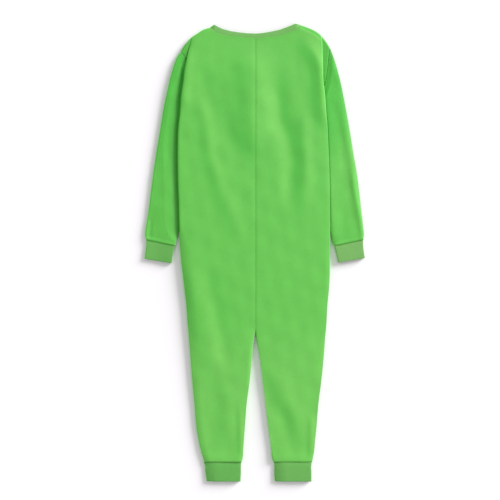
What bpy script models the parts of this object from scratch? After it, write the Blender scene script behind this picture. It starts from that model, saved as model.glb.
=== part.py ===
"""A one-piece pyjama suit in brushed sweat jersey, laid flat on its front with its back up.

+X is towards the wearer's right, +Y towards the neck and +Z up, with the floor at Z = 0. The tables are in
millimetres: "out" is the distance sideways from the centre seam and "down" the distance below the higher neck
point, so a maker can read them off the garment. Each panel is a sheet lofted through its rows and given its
wall by Solidify. The back panels lie over the front ones with air between, and the body's side edges lie over
the inner edges of the sleeves.
"""

import math
from collections import namedtuple

import bpy
import numpy as np

LEFT, RIGHT = -1, 1  # the wearer's sides, and the way each runs along X

# Cloth and seams, mm
JERSEY = 1.8  # brushed sweat jersey of the panels and sleeves
RIB = 2.2  # folded 1 x 1 rib of the cuffs and the neckband
SEAM_GAP = 0.3  # between the edges of two pieces sewn together
LIP = 0.65  # from the level where the back and front edges meet to either edge

# The whole garment, mm
LENGTH = 1449.0  # higher neck point to ankle hem
SEAM_X = 1.3  # the centre seam lies this far to the right of the middle of the box
CROTCH = 973.0  # down
HEM = 1388.0  # down, where the legs end at their cuffs

# Rounding of the layers at their folded edges, mm in from the edge
TOP_REACH = 18.0
TOP_STEPS = (0.0, 0.1, 3.5, 18.0)
FLOOR_REACH = 8.0
FLOOR_STEPS = (0.0, 0.1, 2.5, 8.0)
BACK_LEVEL_STEPS = (0.0, 6.0, 12.0, 18.0)  # the same columns where they follow a level centre seam
FRONT_LEVEL_STEPS = (0.0, 3.0, 5.5, 8.0)
LEG_AHEAD = 60.0  # above the crotch, where the columns begin to close up for the inner folds
LEG_BLEND = 55.0
ROW_APART = 5.0  # between the last row along the armhole and the next level row

# Neck opening. share: of the half width; seam and edge: down to the band's seam and to its free edge
Neck = namedtuple("Neck", "share seam_left seam_right edge_left edge_right")
NECK = [
    Neck(0.00, 46.5, 46.5, 31.5, 31.5),
    Neck(0.20, 44.0, 44.0, 30.3, 29.5),
    Neck(0.40, 41.5, 41.0, 27.6, 25.0),
    Neck(0.60, 38.5, 35.5, 23.5, 19.5),
    Neck(0.80, 31.5, 27.0, 16.5, 10.5),
    Neck(0.91, 24.5, 20.0, 9.5, 4.5),
    Neck(1.00, 12.0, 4.0, 3.0, 0.0),
]
NECK_SEAM_HALF = 143.0
NECK_EDGE_HALF = {LEFT: 130.5, RIGHT: 127.0}
FRONT_NECK_DROP = 62.0  # how much lower the front of the neck lies at its middle
FRONT_NECK_POWER = 2.2
BAND_STEPS = (0.0, 0.35, 0.7, 1.0)  # shares of the band's width
BAND_GAP = 0.5  # up and in from the panels' seam, which leaves the seam gap where the seam runs steep
NECK_COLUMNS = (0.35, 0.60, 0.80, 0.91, 0.97, 1.0)  # shares where the back and the band have points in common
FRONT_NECK_COLUMNS = (0.40, 0.75, 0.93, 1.0)  # the same for the front

# Shoulder line from the band's free edge to the tip of the armhole
Shoulder = namedtuple("Shoulder", "left down_left right down_right")
SHOULDER = [
    Shoulder(130.5, 3.0, 127.0, 0.0),
    Shoulder(143.0, 12.0, 143.0, 4.0),
    Shoulder(166.0, 19.0, 169.0, 13.0),
    Shoulder(185.0, 32.0, 194.0, 25.0),
    Shoulder(203.0, 44.0, 210.0, 38.0),
    Shoulder(215.0, 57.0, 221.0, 51.0),
    Shoulder(225.0, 70.0, 229.5, 63.0),
    Shoulder(232.0, 81.0, 234.0, 70.0),
    Shoulder(235.5, 90.5, 236.5, 76.0),
]

# Armhole seam from its tip to the underarm. It shows for a short way and then runs in under the side fold
Armhole = namedtuple("Armhole", "left down_left right down_right")
ARMHOLE = [
    Armhole(235.5, 90.5, 236.5, 76.0),
    Armhole(226.0, 101.0, 232.5, 101.0),
    Armhole(220.0, 110.0, 228.5, 139.0),
    Armhole(213.5, 146.0, 224.0, 171.0),
    Armhole(210.0, 209.0, 207.0, 232.0),
    Armhole(208.5, 272.0, 195.0, 272.0),
]
ARMHOLE_STEPS = (0.0, 0.1, 3.5, 9.0, 18.0, 30.0, 54.0, 82.0, 112.0, 142.0, 172.0)  # mm along it, for the rows
ARMHOLE_INNER_END = 245.0  # down, where the last of these rows meets the centre seam
ARMHOLE_EASE = 1.0  # the front panel's edge stands back this far from it
SLEEVE_GAP = 0.8  # and the sleeve this far out and down, which leaves the seam gap on the slant

# Where the front panel's edge climbs from the underarm over the sleeve to the side fold
Underarm = namedtuple("Underarm", "left right down middle")
UNDERARM = [
    Underarm(202.5, 189.0, 266.0, 262.0),
    Underarm(202.0, 188.5, 277.0, 275.0),
    Underarm(205.0, 191.5, 287.0, 286.0),
    Underarm(220.0, 206.0, 295.0, 296.0),
    Underarm(239.5, 226.0, 307.0, 307.0),
]

# Body and legs. side: the outer fold; inseam: the inner fold of each leg; rim: height of the side fold;
# loft: height of the back's outer face
Body = namedtuple("Body", "down left right inseam_left inseam_right rim loft")
BODY = [
    Body(101.0, 226.0, 232.5, 0.0, 0.0, 7.2, 15.5),
    Body(110.0, 220.0, 231.5, 0.0, 0.0, 8.4, 15.8),
    Body(125.0, 222.5, 230.0, 0.0, 0.0, 8.4, 16.0),
    Body(140.0, 225.3, 228.4, 0.0, 0.0, 8.4, 16.2),
    Body(170.0, 227.5, 224.1, 0.0, 0.0, 8.4, 16.6),
    Body(197.0, 230.0, 221.0, 0.0, 0.0, 8.4, 17.0),
    Body(240.0, 235.0, 221.5, 0.0, 0.0, 8.6, 17.3),
    Body(285.0, 238.6, 225.0, 0.0, 0.0, 10.5, 17.5),
    Body(307.0, 241.0, 227.0, 0.0, 0.0, 12.6, 17.5),
    Body(350.0, 244.0, 229.5, 0.0, 0.0, 12.6, 17.5),
    Body(400.0, 245.6, 232.3, 0.0, 0.0, 12.6, 17.5),
    Body(480.0, 244.7, 234.8, 0.0, 0.0, 12.6, 17.5),
    Body(560.0, 242.4, 236.2, 0.0, 0.0, 12.6, 17.5),
    Body(652.0, 240.0, 237.0, 0.0, 0.0, 12.2, 17.4),
    Body(678.0, 239.0, 237.0, 0.0, 0.0, 9.8, 17.3),
    Body(705.0, 238.0, 237.0, 0.0, 0.0, 7.6, 17.2),
    Body(735.0, 235.8, 236.8, 0.0, 0.0, 7.0, 17.1),
    Body(767.0, 232.3, 236.6, 0.0, 0.0, 7.0, 17.0),
    Body(824.0, 226.0, 235.0, 0.0, 0.0, 7.0, 16.8),
    Body(890.0, 218.2, 229.0, 0.0, 0.0, 7.0, 16.5),
    Body(955.0, 213.2, 225.2, 0.0, 0.0, 7.0, 16.0),
    Body(973.0, 211.5, 223.7, 0.0, 0.0, 7.0, 15.8),
    Body(995.0, 209.5, 221.5, 3.8, 3.8, 7.0, 15.5),
    Body(1052.0, 205.0, 217.4, 9.5, 14.6, 6.8, 15.0),
    Body(1128.0, 199.3, 209.8, 17.1, 24.4, 6.5, 14.5),
    Body(1204.0, 192.0, 200.3, 26.9, 34.2, 6.3, 14.0),
    Body(1280.0, 185.7, 193.9, 32.6, 43.1, 6.1, 13.6),
    Body(1318.0, 179.4, 190.1, 35.5, 48.2, 6.0, 13.3),
    Body(1350.0, 172.4, 187.3, 37.4, 52.0, 5.9, 13.0),
    Body(1375.0, 166.4, 183.5, 39.3, 53.9, 5.7, 12.4),
    Body(HEM, 161.0, 180.3, 43.4, 57.5, 5.5, 11.4),
]
NECK_LOFT = 11.5  # height of the back at the neckband
NECK_RISE = 60.0  # mm over which it rises to the back's height
SHOULDER_RIM = 6.2

# Sleeves below the armhole. outer and inner: the two folds of the flattened tube, each with its own down
Sleeve = namedtuple("Sleeve", "outer_down outer_left outer_right inner_down inner_left inner_right crown")
SLEEVE = [
    Sleeve(100.0, 244.5, 246.5, 293.0, 208.8, 195.5, 12.4),
    Sleeve(128.0, 256.1, 255.8, 315.0, 209.5, 196.5, 12.8),
    Sleeve(164.0, 267.1, 265.8, 343.0, 210.4, 198.0, 13.2),
    Sleeve(218.0, 279.8, 278.0, 380.0, 212.0, 200.5, 13.5),
    Sleeve(277.0, 291.5, 289.0, 424.0, 214.2, 204.0, 13.5),
    Sleeve(342.0, 302.0, 300.7, 471.0, 217.7, 208.5, 13.5),
    Sleeve(409.0, 313.1, 311.5, 518.0, 222.1, 214.5, 13.5),
    Sleeve(474.0, 322.6, 322.6, 562.0, 227.5, 221.0, 13.5),
    Sleeve(536.0, 330.8, 330.5, 606.0, 234.2, 229.0, 13.5),
    Sleeve(594.0, 337.8, 337.0, 645.0, 239.9, 236.5, 13.0),
    Sleeve(640.0, 345.1, 342.3, 676.0, 245.0, 241.5, 12.5),
    Sleeve(667.0, 348.3, 344.8, 693.0, 250.7, 245.2, 12.0),
    Sleeve(685.0, 345.4, 342.6, 704.0, 253.2, 250.0, 11.0),
]
SLEEVE_SHARES = (0.0, 0.02, 0.07, 0.15, 0.28, 0.42, 0.55, 0.67, 0.78, 0.88, 0.96, 1.0)
SLEEVE_REACH = 14.0  # rounding of the sleeve's folds
TUBE_FLOOR_REACH = 6.0
SLEEVE_TIP = 12.4  # height at the tip of the armhole, level with the shoulder's fold
TIP_FADE = 6.0
TUCK_TOP = 7.0  # height of the sleeve where the body lies over it
TUCK_START = 3.0  # mm outside the side fold where the sleeve begins to rise to its crown
TUCK_FADE = 30.0  # mm over which it rises
TUCK_FLOOR = 8.6  # height of the front panel's outer face where it lies over the sleeve
TUCK_RAMP = 12.0  # mm over which the front panel climbs there
TUCK_PAST = 1.0  # the climb ends this far short of the sleeve's inner fold
TUCK_LEAST = 4.0  # and at least this far in from the rounding of the side fold
TUCK_WIDEST = 40.0
UNDERARM_DOWN = 272.0
UNDERARM_CLEAR = 8.0  # between the last row along the armhole and the first of the underarm

# Cuffs: rows from the seam to the free edge
Cuff = namedtuple("Cuff", "down outer_left inner_left outer_right inner_right")
ANKLE = [
    Cuff(HEM + SEAM_GAP, 160.7, 43.8, 179.8, 58.2),
    Cuff(1400.0, 159.1, 45.0, 177.8, 60.6),
    Cuff(1420.0, 157.6, 45.0, 178.4, 60.6),
    Cuff(1439.0, 155.8, 45.0, 179.4, 60.6),
    Cuff(1449.0, 153.6, 46.4, 178.4, 62.0),
]
Wrist = namedtuple("Wrist", "outer_down outer_left outer_right inner_down inner_left inner_right")
WRIST = [
    Wrist(685.3, 345.2, 342.4, 704.3, 253.4, 250.2),
    Wrist(699.0, 345.2, 342.4, 717.0, 256.9, 254.0),
    Wrist(714.0, 346.6, 343.4, 731.0, 260.4, 257.6),
    Wrist(729.0, 348.6, 345.4, 745.0, 262.8, 260.8),
    Wrist(742.5, 350.2, 347.6, 757.0, 264.4, 263.2),
]
CUFF_HEIGHT = 11.0
CUFF_REACH = 8.0
CUFF_SHARES = (0.0, 0.02, 0.07, 0.20, 0.40, 0.60, 0.80, 0.93, 0.98, 1.0)

# Front opening: a placket of two strips with flat buttons, held just clear of the floor
PLACKET_HALF = 15.0
PLACKET_UNDER_HALF = 19.0
PLACKET_LENGTH = 330.0
PLACKET_BELOW_BAND = 1.3
PLACKET_TOP_WALL = 2.4
PLACKET_LIFT = 2.8
PLACKET_RAMP = 25.0
PLACKET_ROWS = 9
SLOT_STEP = 1.0  # down, over which the slot for the placket closes to the centre seam
BUTTONS = 5
BUTTON_RADIUS = 7.5
BUTTON_THICK = 2.2
BUTTON_HOLE_RADIUS = 0.9
BUTTON_HOLE_RING = 2.1
BUTTON_HOLES = 4
BUTTON_SIDES = 18
BUTTON_HOLE_SIDES = 6
BUTTON_CLEARANCE = 0.3

# Soft folds in the back. Each runs through three points (x, down); height is below 0 in a trough
Fold = namedtuple("Fold", "x0 down0 x1 down1 x2 down2 width height")
FOLDS = [
    Fold(-182, 105, -121, 295, -39, 510, 30, -3.4),
    Fold(-207, 120, -156, 320, -74, 596, 26, 2.4),
    Fold(-4, 114, -4, 300, -1, 510, 34, 2.6),
    Fold(66, 193, 97, 279, 110, 400, 30, -2.8),
    Fold(142, 225, 148, 300, 142, 447, 20, 1.8),
    Fold(135, 40, 167, 120, 186, 266, 20, -3.0),
    Fold(165, 60, 192, 114, 211, 216, 16, 1.8),
    Fold(-205, 755, -155, 930, -112, 1128, 24, 2.2),
    Fold(-160, 1150, -131, 1240, -128, 1334, 20, -1.8),
    Fold(30, 1090, 70, 1230, 104, 1366, 20, -2.0),
    Fold(62, 1106, 112, 1220, 145, 1356, 20, 1.6),
]
FOLD_POINTS = 9
FOLD_STRETCH = 0.5  # a fold fades this much slower past its ends than beside it

JERSEY_GREEN = (0.156, 0.584, 0.102)
RIB_GREEN = (0.171, 0.456, 0.127)
BUTTON_GREEN = (0.120, 0.420, 0.090)


def smooth(share):
    share = min(max(share, 0.0), 1.0)
    return share * share * (3.0 - 2.0 * share)


def rounding(distance, reach):
    """How far a layer has risen over its rounded edge: 0 at the edge, 1 from reach inwards."""
    share = min(distance / reach, 1.0)
    return math.sqrt(1.0 - (1.0 - share) ** 2)


def column(table, name):
    return [getattr(row, name) for row in table]


def read(table, key, name, at):
    """A table's column read between its rows."""
    return float(np.interp(at, column(table, key), column(table, name)))


def side_name(side, stem):
    return f"{stem}_{'left' if side == LEFT else 'right'}"


def nearest(out, down, line):
    """Distance from a point to a line of (out, down, rim) points, and the rim beside it."""
    best = (math.inf, line[0][2])
    for (x0, y0, z0), (x1, y1, z1) in zip(line, line[1:]):
        run_x, run_y = x1 - x0, y1 - y0
        length = run_x**2 + run_y**2
        share = ((out - x0) * run_x + (down - y0) * run_y) / length if length else 0.0
        share = min(max(share, 0.0), 1.0)
        gap = math.hypot(out - x0 - share * run_x, down - y0 - share * run_y)
        if gap < best[0]:
            best = (gap, z0 + share * (z1 - z0))
    return best


def along(line, distance):
    """The point a distance along a line of (out, down) points."""
    for (x0, y0), (x1, y1) in zip(line, line[1:]):
        length = math.hypot(x1 - x0, y1 - y0)
        if distance <= length:
            share = distance / length
            return x0 + share * (x1 - x0), y0 + share * (y1 - y0)
        distance -= length
    return line[-1]


def line_length(line):
    return sum(math.dist(a, b) for a, b in zip(line, line[1:]))


def shoulder_line(side):
    name = "left" if side == LEFT else "right"
    return [(getattr(row, name), getattr(row, f"down_{name}")) for row in SHOULDER]


def armhole_line(side):
    name = "left" if side == LEFT else "right"
    return [(getattr(row, name), getattr(row, f"down_{name}")) for row in ARMHOLE]


def side_out(side, down):
    """The outer fold of the body at a level."""
    return read(BODY, "down", "left" if side == LEFT else "right", down)


def side_line(side, start):
    """The outer fold from a level to the leg's hem, as (out, down, rim)."""
    name = "left" if side == LEFT else "right"
    return [(getattr(row, name), row.down, row.rim) for row in BODY if row.down >= start]


def inseam_line(side):
    name = side_name(side, "inseam")
    return [(getattr(row, name), row.down, row.rim) for row in BODY if row.down >= CROTCH]


def shoulder_rim_line(side):
    return [(out, down, SHOULDER_RIM) for out, down in shoulder_line(side)]


def neck_seam(side, out):
    """How far down the back's neck seam lies at a distance from the centre."""
    return read(NECK, "share", side_name(side, "seam"), out / NECK_SEAM_HALF)


def front_drop(share):
    """How much lower the front of the neck lies than the back."""
    return FRONT_NECK_DROP * (1.0 - min(share, 1.0) ** FRONT_NECK_POWER)


def folds(x, down):
    """Height added by the soft folds."""
    total = 0.0
    for fold in FOLDS:
        gap = math.inf
        for step in range(FOLD_POINTS):
            t = step / (FOLD_POINTS - 1)
            # A curve that passes its middle point at half way
            a, b, c = (1 - t) * (1 - 2 * t), 4 * t * (1 - t), t * (2 * t - 1)
            fold_x = a * fold.x0 + b * fold.x1 + c * fold.x2
            fold_down = a * fold.down0 + b * fold.down1 + c * fold.down2
            gap = min(gap, math.hypot(x - fold_x, (down - fold_down) * FOLD_STRETCH))
        total += fold.height * math.exp(-((gap / fold.width) ** 2))
    return total


def back_height(side, out, down):
    """Height of the outer face of the back."""
    far, rim = min(
        nearest(out, down, shoulder_rim_line(side)),
        nearest(out, down, [(*shoulder_line(side)[-1], SHOULDER_RIM)] + side_line(side, 0.0)),
        nearest(out, down, inseam_line(side)),
    )
    crown = read(BODY, "down", "loft", down)
    neck_end = min(max(down - neck_seam(side, out), 0.0), NECK_RISE)
    crown -= (crown - NECK_LOFT) * (1.0 - smooth(neck_end / NECK_RISE))
    crown += folds(side * out, down) * smooth(neck_end / NECK_RISE)
    rim += LIP
    return rim + (crown - rim) * rounding(far, TOP_REACH)


def placket_lift(out, down):
    """How far the front is held up beside the placket."""
    beside = smooth(1.0 - (out - PLACKET_HALF) / PLACKET_RAMP)
    below = smooth(1.0 - (down - placket_end()) / PLACKET_RAMP)
    return PLACKET_LIFT * beside * below


def front_seam_middle():
    return NECK[0].seam_left + FRONT_NECK_DROP


def placket_end():
    return front_seam_middle() + PLACKET_LENGTH


def front_height(side, out, down):
    """Height of the outer face of the front, which lies on the floor and climbs over the sleeve's inner edge."""
    inner = read(SLEEVE, "inner_down", side_name(side, "inner"), down)
    clear = math.hypot(max(inner - out, 0.0), max(UNDERARM_DOWN - down, 0.0))
    floor = TUCK_FLOOR * smooth(1.0 - clear / TUCK_RAMP) + placket_lift(out, down)
    far, rim = min(
        nearest(out, down, shoulder_rim_line(side)),
        nearest(out, down, side_line(side, UNDERARM[-1].down)),
        nearest(out, down, inseam_line(side)),
    )
    rim -= LIP
    return rim - (rim - floor) * rounding(far, FLOOR_REACH)


def world(side, out, down, height):
    """A point in metres, with the middle of the garment's box at the origin."""
    return (SEAM_X + side * out) / 1000, (LENGTH / 2 - down) / 1000, height / 1000


def cloth_material(name, colour, roughness, sheen):
    material = bpy.data.materials.new(name)
    material.use_nodes = True
    shader = material.node_tree.nodes["Principled BSDF"]
    shader.inputs["Base Color"].default_value = (*colour, 1.0)
    shader.inputs["Roughness"].default_value = roughness
    shader.inputs["Metallic"].default_value = 0.0
    shader.inputs["Sheen Weight"].default_value = sheen
    material.diffuse_color = (*colour, 1.0)
    return material


def make_object(name, mesh, collection, material):
    obj = bpy.data.objects.new(name, mesh)
    mesh.materials.append(material)
    mesh.shade_smooth()
    collection.objects.link(obj)
    return obj


def loft(name, rows, collection, material, wall, closed=False, flip=False):
    """A sheet, or a tube where closed, through rows of points, with its wall on the inner side."""
    count = len(rows[0])
    span = count if closed else count - 1
    faces = []
    for r in range(len(rows) - 1):
        for c in range(span):
            after = (c + 1) % count
            face = (r * count + c, r * count + after, (r + 1) * count + after, (r + 1) * count + c)
            faces.append(face[::-1] if flip else face)
    mesh = bpy.data.meshes.new(name)
    mesh.from_pydata([point for row in rows for point in row], [], faces)
    obj = make_object(name, mesh, collection, material)
    solidify = obj.modifiers.new("Wall", "SOLIDIFY")
    solidify.thickness = wall / 1000
    solidify.offset = -1.0
    return obj


def top_rows(side, inner_start, edge):
    """Row ends from the neck and shoulder to the underarm: (inner down, outer out, outer down, bow)."""
    last = ARMHOLE_STEPS[-1]
    rows = []
    for step in ARMHOLE_STEPS:
        out, down = along(edge, step)
        inner_down = inner_start + step / last * (ARMHOLE_INNER_END - inner_start)
        rows.append((inner_down, out, down, (1.0 - step / last) ** 2))
    return rows


def panel_rows(side, ends, offsets, neck_line, height, inner_out):
    """Points of a body panel. offsets gives each row's columns, measured out from its inner edge."""
    first_down, first_out, first_outer_down, _ = ends[0]
    rows = []
    for inner_down, outer, outer_down, bow in ends:
        inner = inner_out(inner_down)
        shares = offsets(inner, outer, inner_down)
        row = []
        for first_offset, offset in zip(offsets(inner_out(first_down), first_out, first_down), shares):
            first_x = inner_out(first_down) + first_offset
            first_share = first_offset / (first_out - inner_out(first_down))
            line = first_down + first_share * (first_outer_down - first_down)
            share = offset / (outer - inner)
            down = inner_down + share * (outer_down - inner_down) + bow * (neck_line(first_x) - line)
            out = inner + offset
            row.append(world(side, out, down, height(side, out, down)))
        rows.append(row)
    return rows


def back_panel(side, collection):
    def inner_out(down):
        return max(read(BODY, "down", side_name(side, "inseam"), down), SEAM_GAP / 2)

    def offsets(inner, outer, down):
        leg = smooth((down - CROTCH + LEG_AHEAD) / LEG_BLEND)
        start = [a + (b - a) * leg for a, b in zip(BACK_LEVEL_STEPS, TOP_STEPS)]
        tip = shoulder_line(side)[-1][0]
        neck = [share * NECK_SEAM_HALF for share in NECK_COLUMNS]
        neck.append((neck[-1] + tip - TOP_REACH) / 2)
        scale = (outer - inner - 2 * TOP_REACH) / (tip - 2 * TOP_REACH)
        middle = [TOP_REACH + (at - TOP_REACH) * scale for at in neck]
        end = [outer - inner - step for step in reversed(TOP_STEPS)]
        return start + middle + end

    def neck_line(out):
        if out <= NECK_SEAM_HALF:
            return neck_seam(side, out)
        line = shoulder_line(side)
        return float(np.interp(out, [p[0] for p in line], [p[1] for p in line]))

    edge = [shoulder_line(side)[-1]] + [(out, down) for out, down, _ in side_line(side, 0.0)]
    ends = top_rows(side, NECK[0].seam_left, edge)
    for row in BODY:
        if row.down > ends[-1][2] + ROW_APART:
            ends.append((row.down, side_out(side, row.down), row.down, 0.0))
    rows = panel_rows(side, ends, offsets, neck_line, back_height, inner_out)
    name = side_name(side, "back")
    material = cloth_material(name, JERSEY_GREEN, 0.95, 0.3)
    return loft(name, rows, collection, material, JERSEY, flip=side == RIGHT)


def front_panel(side, collection):
    def inner_out(down):
        if down <= placket_end():
            return PLACKET_HALF + SEAM_GAP
        return max(read(BODY, "down", side_name(side, "inseam"), down), SEAM_GAP / 2)

    def offsets(inner, outer, down):
        leg = smooth((down - CROTCH + LEG_AHEAD) / LEG_BLEND)
        start = [a + (b - a) * leg for a, b in zip(FRONT_LEVEL_STEPS, FLOOR_STEPS)]
        slot = PLACKET_HALF + SEAM_GAP
        tip = shoulder_line(side)[-1][0]
        neck = [share * NECK_SEAM_HALF - slot for share in FRONT_NECK_COLUMNS]
        over = 0.0
        if down >= UNDERARM_DOWN:
            over = outer - read(SLEEVE, "inner_down", side_name(side, "inner"), down)
        least = FLOOR_REACH + TUCK_LEAST
        head = min(max(over + TUCK_PAST, least), TUCK_WIDEST)
        tuck = (head + TUCK_RAMP, head)
        scale = (outer - inner - FLOOR_REACH - tuck[0]) / (tip - slot - FLOOR_REACH - least - TUCK_RAMP)
        middle = [FLOOR_REACH + (at - FLOOR_REACH) * scale for at in neck]
        end = [outer - inner - step for step in tuck + tuple(reversed(FLOOR_STEPS))]
        return start + middle + end

    def neck_line(out):
        if out <= NECK_SEAM_HALF:
            return neck_seam(side, out) + front_drop(out / NECK_SEAM_HALF)
        line = shoulder_line(side)
        return float(np.interp(out, [p[0] for p in line], [p[1] for p in line]))

    armhole = [(out - ARMHOLE_EASE, down) for out, down in armhole_line(side)]
    armhole[0] = shoulder_line(side)[-1]
    ends = top_rows(side, front_seam_middle(), armhole)
    ends = [end for end in ends if end[2] < UNDERARM[0].down - UNDERARM_CLEAR]
    for row in UNDERARM:
        ends.append((row.middle, row.left if side == LEFT else row.right, row.down, 0.0))
    for row in BODY:
        if row.down > UNDERARM[-1].down + ROW_APART:
            ends.append((row.down, side_out(side, row.down), row.down, 0.0))
    for down in (placket_end(), placket_end() + SLOT_STEP):
        ends.append((down, side_out(side, down), down, 0.0))
    ends.sort(key=lambda end: end[0])
    rows = panel_rows(side, ends, offsets, neck_line, front_height, inner_out)
    name = side_name(side, "front")
    material = cloth_material(name, JERSEY_GREEN, 0.95, 0.3)
    return loft(name, rows, collection, material, JERSEY, flip=side == LEFT)


def tube_row(side, points, outer, inner, reach, full, crown):
    """A flattened ring over a row of (out, down) points: its upper face from the outer fold in, then its lower.

    The outer fold lies at half of full, the inner one at half of the crown there.
    """
    upper, lower = [], []
    for out, down in points:
        top = crown(out, down)
        from_outer, _ = nearest(out, down, outer)
        from_inner, _ = nearest(out, down, inner)
        middle = full / 2 if from_outer < from_inner else top / 2
        far = min(from_outer, from_inner)
        upper.append(world(side, out, down, middle + (top - middle) * rounding(far, reach)))
        lower.append(world(side, out, down, middle - middle * rounding(far, TUBE_FLOOR_REACH)))
    return upper + lower[-2:0:-1]


def flat_line(points):
    return [(out, down, 0.0) for out, down in points]


def between(start, end, shares):
    return [(start[0] + share * (end[0] - start[0]), start[1] + share * (end[1] - start[1])) for share in shares]


def sleeve_ends(side):
    outer = [(getattr(row, side_name(side, "outer")), row.outer_down) for row in SLEEVE]
    inner = [(getattr(row, side_name(side, "inner")), row.inner_down) for row in SLEEVE]
    return outer, inner


def sleeve_crown(side, full):
    """Height of the sleeve's outer face, which sinks where the body lies over it."""

    def crown(out, down):
        beyond = out - side_out(side, down) - TUCK_START
        return TUCK_TOP + (full - TUCK_TOP) * smooth(beyond / TUCK_FADE)

    return crown


def sleeve(side, collection):
    outer, inner = sleeve_ends(side)
    line = [(out + SLEEVE_GAP, down + SLEEVE_GAP) for out, down in armhole_line(side)]
    steps = ARMHOLE_STEPS[: len(SLEEVE_SHARES) - 1] + (line_length(line),)
    first = [along(line, step) for step in steps]
    outer_line, inner_line = flat_line([line[0]] + outer), flat_line([line[-1]] + inner)

    def seam_crown(out, down):
        from_tip = math.dist((out, down), line[0])
        return TUCK_TOP + (SLEEVE_TIP - TUCK_TOP) * math.exp(-from_tip / TIP_FADE)

    rows = [tube_row(side, first, outer_line, inner_line, SLEEVE_REACH, SLEEVE_TIP, seam_crown)]
    for row, start, end in zip(SLEEVE, outer, inner):
        points = between(start, end, SLEEVE_SHARES)
        crown = sleeve_crown(side, row.crown)
        rows.append(tube_row(side, points, outer_line, inner_line, SLEEVE_REACH, row.crown, crown))
    name = side_name(side, "sleeve")
    material = cloth_material(name, JERSEY_GREEN, 0.95, 0.3)
    return loft(name, rows, collection, material, JERSEY, closed=True, flip=side == LEFT)


def cuff(side, stem, outer, inner, crown, collection):
    """A flattened rib tube between two folds."""
    rows = []
    for start, end in zip(outer, inner):
        points = between(start, end, CUFF_SHARES)
        rows.append(tube_row(side, points, flat_line(outer), flat_line(inner), CUFF_REACH, CUFF_HEIGHT, crown))
    name = side_name(side, stem)
    material = cloth_material(name, RIB_GREEN, 0.9, 0.2)
    return loft(name, rows, collection, material, RIB, closed=True, flip=side == LEFT)


def ankle_cuff(side, collection):
    outer = [(getattr(row, side_name(side, "outer")), row.down) for row in ANKLE]
    inner = [(getattr(row, side_name(side, "inner")), row.down) for row in ANKLE]
    return cuff(side, "cuff_ankle", outer, inner, lambda out, down: CUFF_HEIGHT, collection)


def wrist_cuff(side, collection):
    outer = [(getattr(row, side_name(side, "outer")), row.outer_down) for row in WRIST]
    inner = [(getattr(row, side_name(side, "inner")), row.inner_down) for row in WRIST]
    return cuff(side, "cuff_wrist", outer, inner, sleeve_crown(side, CUFF_HEIGHT), collection)


def neckband(collection):
    """A closed band round the neck: its back half on the back's level and its front half on the floor."""
    rows = []
    for step in BAND_STEPS:
        back = [band_back(LEFT, share, step) for share in reversed(NECK_COLUMNS)]
        back.append(band_back(RIGHT, 0.0, step))
        back += [band_back(RIGHT, share, step) for share in NECK_COLUMNS]
        front = [band_front(RIGHT, share, step) for share in reversed(FRONT_NECK_COLUMNS[:-1])]
        front.append(band_front(LEFT, 0.0, step))
        front += [band_front(LEFT, share, step) for share in FRONT_NECK_COLUMNS[:-1]]
        rows.append(back + front)
    material = cloth_material("neckband", RIB_GREEN, 0.9, 0.2)
    return loft("neckband", rows, collection, material, RIB, closed=True)


def band_place(side, share, step):
    """Where a point of the band lies, step 0 at its seam and 1 at its free edge."""
    seam_down = read(NECK, "share", side_name(side, "seam"), share) - BAND_GAP
    edge_down = read(NECK, "share", side_name(side, "edge"), share)
    seam_out = share * (NECK_SEAM_HALF - BAND_GAP)
    out = seam_out + step * (share * NECK_EDGE_HALF[side] - seam_out)
    return out, seam_down + step * (edge_down - seam_down)


def band_back(side, share, step):
    out, down = band_place(side, share, step)
    far = 0.0 if share == 1.0 else nearest(out, down, shoulder_rim_line(side))[0]
    return world(side, out, down, SHOULDER_RIM + (NECK_LOFT - SHOULDER_RIM) * rounding(far, TOP_REACH))


def band_front(side, share, step):
    out, down = band_place(side, share, step)
    far = nearest(out, down, shoulder_rim_line(side))[0]
    down += front_drop(share)
    floor = placket_lift(out, down)
    return world(side, out, down, SHOULDER_RIM - (SHOULDER_RIM - floor) * rounding(far, FLOOR_REACH))


def placket(name, wall, above, half, collection):
    """A strip down the front opening, the given distance above the placket's outer face."""
    rows = []
    start = front_seam_middle() + PLACKET_BELOW_BAND
    for r in range(PLACKET_ROWS):
        down = start + r / (PLACKET_ROWS - 1) * (placket_end() - SEAM_GAP - start)
        rows.append([world(RIGHT, x, down, PLACKET_LIFT + above) for x in (-half, 0.0, half)])
    material = cloth_material(name, JERSEY_GREEN, 0.95, 0.3)
    return loft(name, rows, collection, material, wall)


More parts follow.
